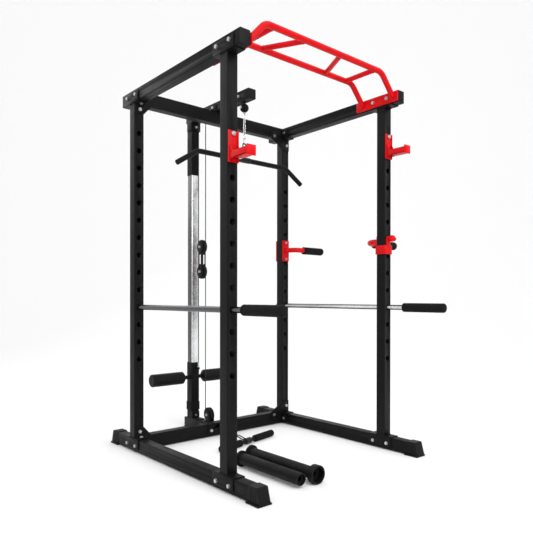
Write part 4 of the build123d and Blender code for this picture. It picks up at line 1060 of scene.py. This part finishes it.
# %%
def bead(piece, route, radius=2.2, pitch=3.0, loop=False):
    """Ripple along an even route; the ripple's pitch is in millimetres."""
    route = [Vector(p) for p in route]
    even, carry = [], 0.0
    legs = list(zip(route, route[1:] + ([route[0]] if loop else [])))
    for a, b in legs:
        span = (b - a).length
        if span < 1e-6:
            continue
        s = carry
        while s < span:
            even.append(a.lerp(b, s / span))
            s += pitch / 2
        carry = s - span
    if len(even) > 3:
        piece.sweep(even, round_profile(radius, 6), loop=loop, scale=lambda i: 1.0 if i % 2 else 0.72)


def ring_route(centre, axis, radius, sides=28):
    axis = Vector(axis).normalized()
    u = perpendicular(axis)
    v = axis.cross(u)
    return [Vector(centre) + u * a + v * b for a, b in round_profile(radius, sides)]


frame_welds = Piece("frame_welds")
for side in (-1, 1):
    x = side * UP_X
    for y in UP_Y:
        for z in (RAIL_TOP + 5.6, BEAM_Z - 5.6):
            h = 30.3
            bead(frame_welds, [(x - h, y - h, z), (x + h, y - h, z), (x + h, y + h, z), (x - h, y + h, z)],
                 loop=True)
y = MAST_Y
bead(frame_welds, [(-30.3, y - 30.3, 66.6), (30.3, y - 30.3, 66.6), (30.3, y + 30.3, 66.6),
                   (-30.3, y + 30.3, 66.6)], loop=True)
frame_welds.done(WELD, "cage", sharp=60)
red_welds = Piece("red_welds")
for y in (-62.0, 160.0):
    for side in (-1, 1):
        bead(red_welds, ring_route((side * 539.2, y, 2077.0), (1, 0, 0.8), 17.5), 2.0, loop=True)
for x0, x1 in ((-382, -382), (-162, -278), (92, 208), (382, 382)):
    lean = Vector((x1 - x0, 222, 0)).normalized()
    for x, y, d in ((x0, -62.0, lean), (x1, 160.0, -lean)):
        bead(red_welds, ring_route(Vector((x, y, 2191)) + d * 17.5, d, 14.4), 1.8, loop=True)
bead(red_welds, ring_route((UP_X, 898.4, DIP_Z), (0, 1, 0), 17.6), 2.0, loop=True)
bead(red_welds, ring_route((UP_X, 66.8, DIP_Z), (0, 1, 0), 17.6), 2.0, loop=True)
red_welds.done(RED_WELD, "cage", sharp=60)
print("welds made")

# %% [markdown]
# ## Backdrop and light
# A pale sheet lies on the floor and curves up behind the cage, so there is no horizon line. One large soft
# light from the front gives the tubes their long highlights; two weaker ones open the shadows. Dark
# cards beside and behind the viewer give the chrome something to reflect.

# %%
def staged(name, colour, rough, rows, seen=True):
    """Sheet through rows of points, one of the studio's own objects."""
    mesh = bpy.data.meshes.new(name)
    width = len(rows[0])
    faces = [(r * width + c, r * width + c + 1, (r + 1) * width + c + 1, (r + 1) * width + c)
             for r in range(len(rows) - 1) for c in range(width - 1)]
    mesh.from_pydata([at(*p) for row in rows for p in row], [], faces)
    for polygon in mesh.polygons:
        polygon.use_smooth = True
    made = bpy.data.objects.new(name, mesh)
    bpy.context.scene.collection.objects.link(made)
    paint = bpy.data.materials.new(name)
    paint.use_nodes = True
    paint.node_tree.nodes["Principled BSDF"].inputs["Base Color"].default_value = (*colour, 1)
    paint.node_tree.nodes["Principled BSDF"].inputs["Roughness"].default_value = rough
    mesh.materials.append(paint)
    made.visible_camera = seen
    return made


away = Vector((math.sin(yaw), math.cos(yaw), 0))          # from the viewer through the cage
across = Vector((away.y, -away.x, 0))
middle = Vector((0, 450, 0))
profile = [(-9000, 0), (3200, 0)] + [(3200 + 2600 * math.sin(a), 2600 - 2600 * math.cos(a))
                                     for a in [math.radians(9 * k) for k in range(1, 11)]] + [(5800, 9000)]
staged("backdrop", (0.965, 0.965, 0.965), 1.0,
       [[middle + away * d + across * w + Vector((0, 0, z)) for w in (-14000, 14000)] for d, z in profile])
for name, turn, wide in (("dark card left", -62, 1500), ("dark card behind", 0, 1300),
                         ("dark card right", 66, 1700)):
    toward = -(Matrix.Rotation(math.radians(turn), 3, "Z") @ away)
    beside = Vector((toward.y, -toward.x, 0))
    centre = middle + toward * 5600
    staged(name, (0.02, 0.02, 0.02), 0.9, [[centre + beside * w + Vector((0, 0, z)) for w in (-wide,
                                                                                              wide)] for z in (0, 3400)],
           seen=False)

world = bpy.data.worlds.new("studio")
bpy.context.scene.world = world
world.use_nodes = True
world.node_tree.nodes["Background"].inputs["Color"].default_value = (1.0, 1.0, 1.0, 1)
world.node_tree.nodes["Background"].inputs["Strength"].default_value = 0.98
for name, place, target, size, power in (("key", (-300, -3600, 3300), (0, 400, 1000), 2.6, 95),
                                         ("fill", (-3600, -800, 2600), (0, 400, 1000), 2.4, 22),
                                         ("back", (-600, 4200, 3400), (0, 400, 1400), 2.4, 25)):
    lamp = bpy.data.lights.new(name, "AREA")
    lamp.size, lamp.energy = size, power
    lit = bpy.data.objects.new(name, lamp)
    lit.location = at(*place)
    lit.rotation_mode = "QUATERNION"
    lit.rotation_quaternion = (at(*target) - at(*place)).to_track_quat("-Z", "Y")
    bpy.context.scene.collection.objects.link(lit)
bpy.context.scene.view_settings.view_transform = "Standard"
print("backdrop and lights made")
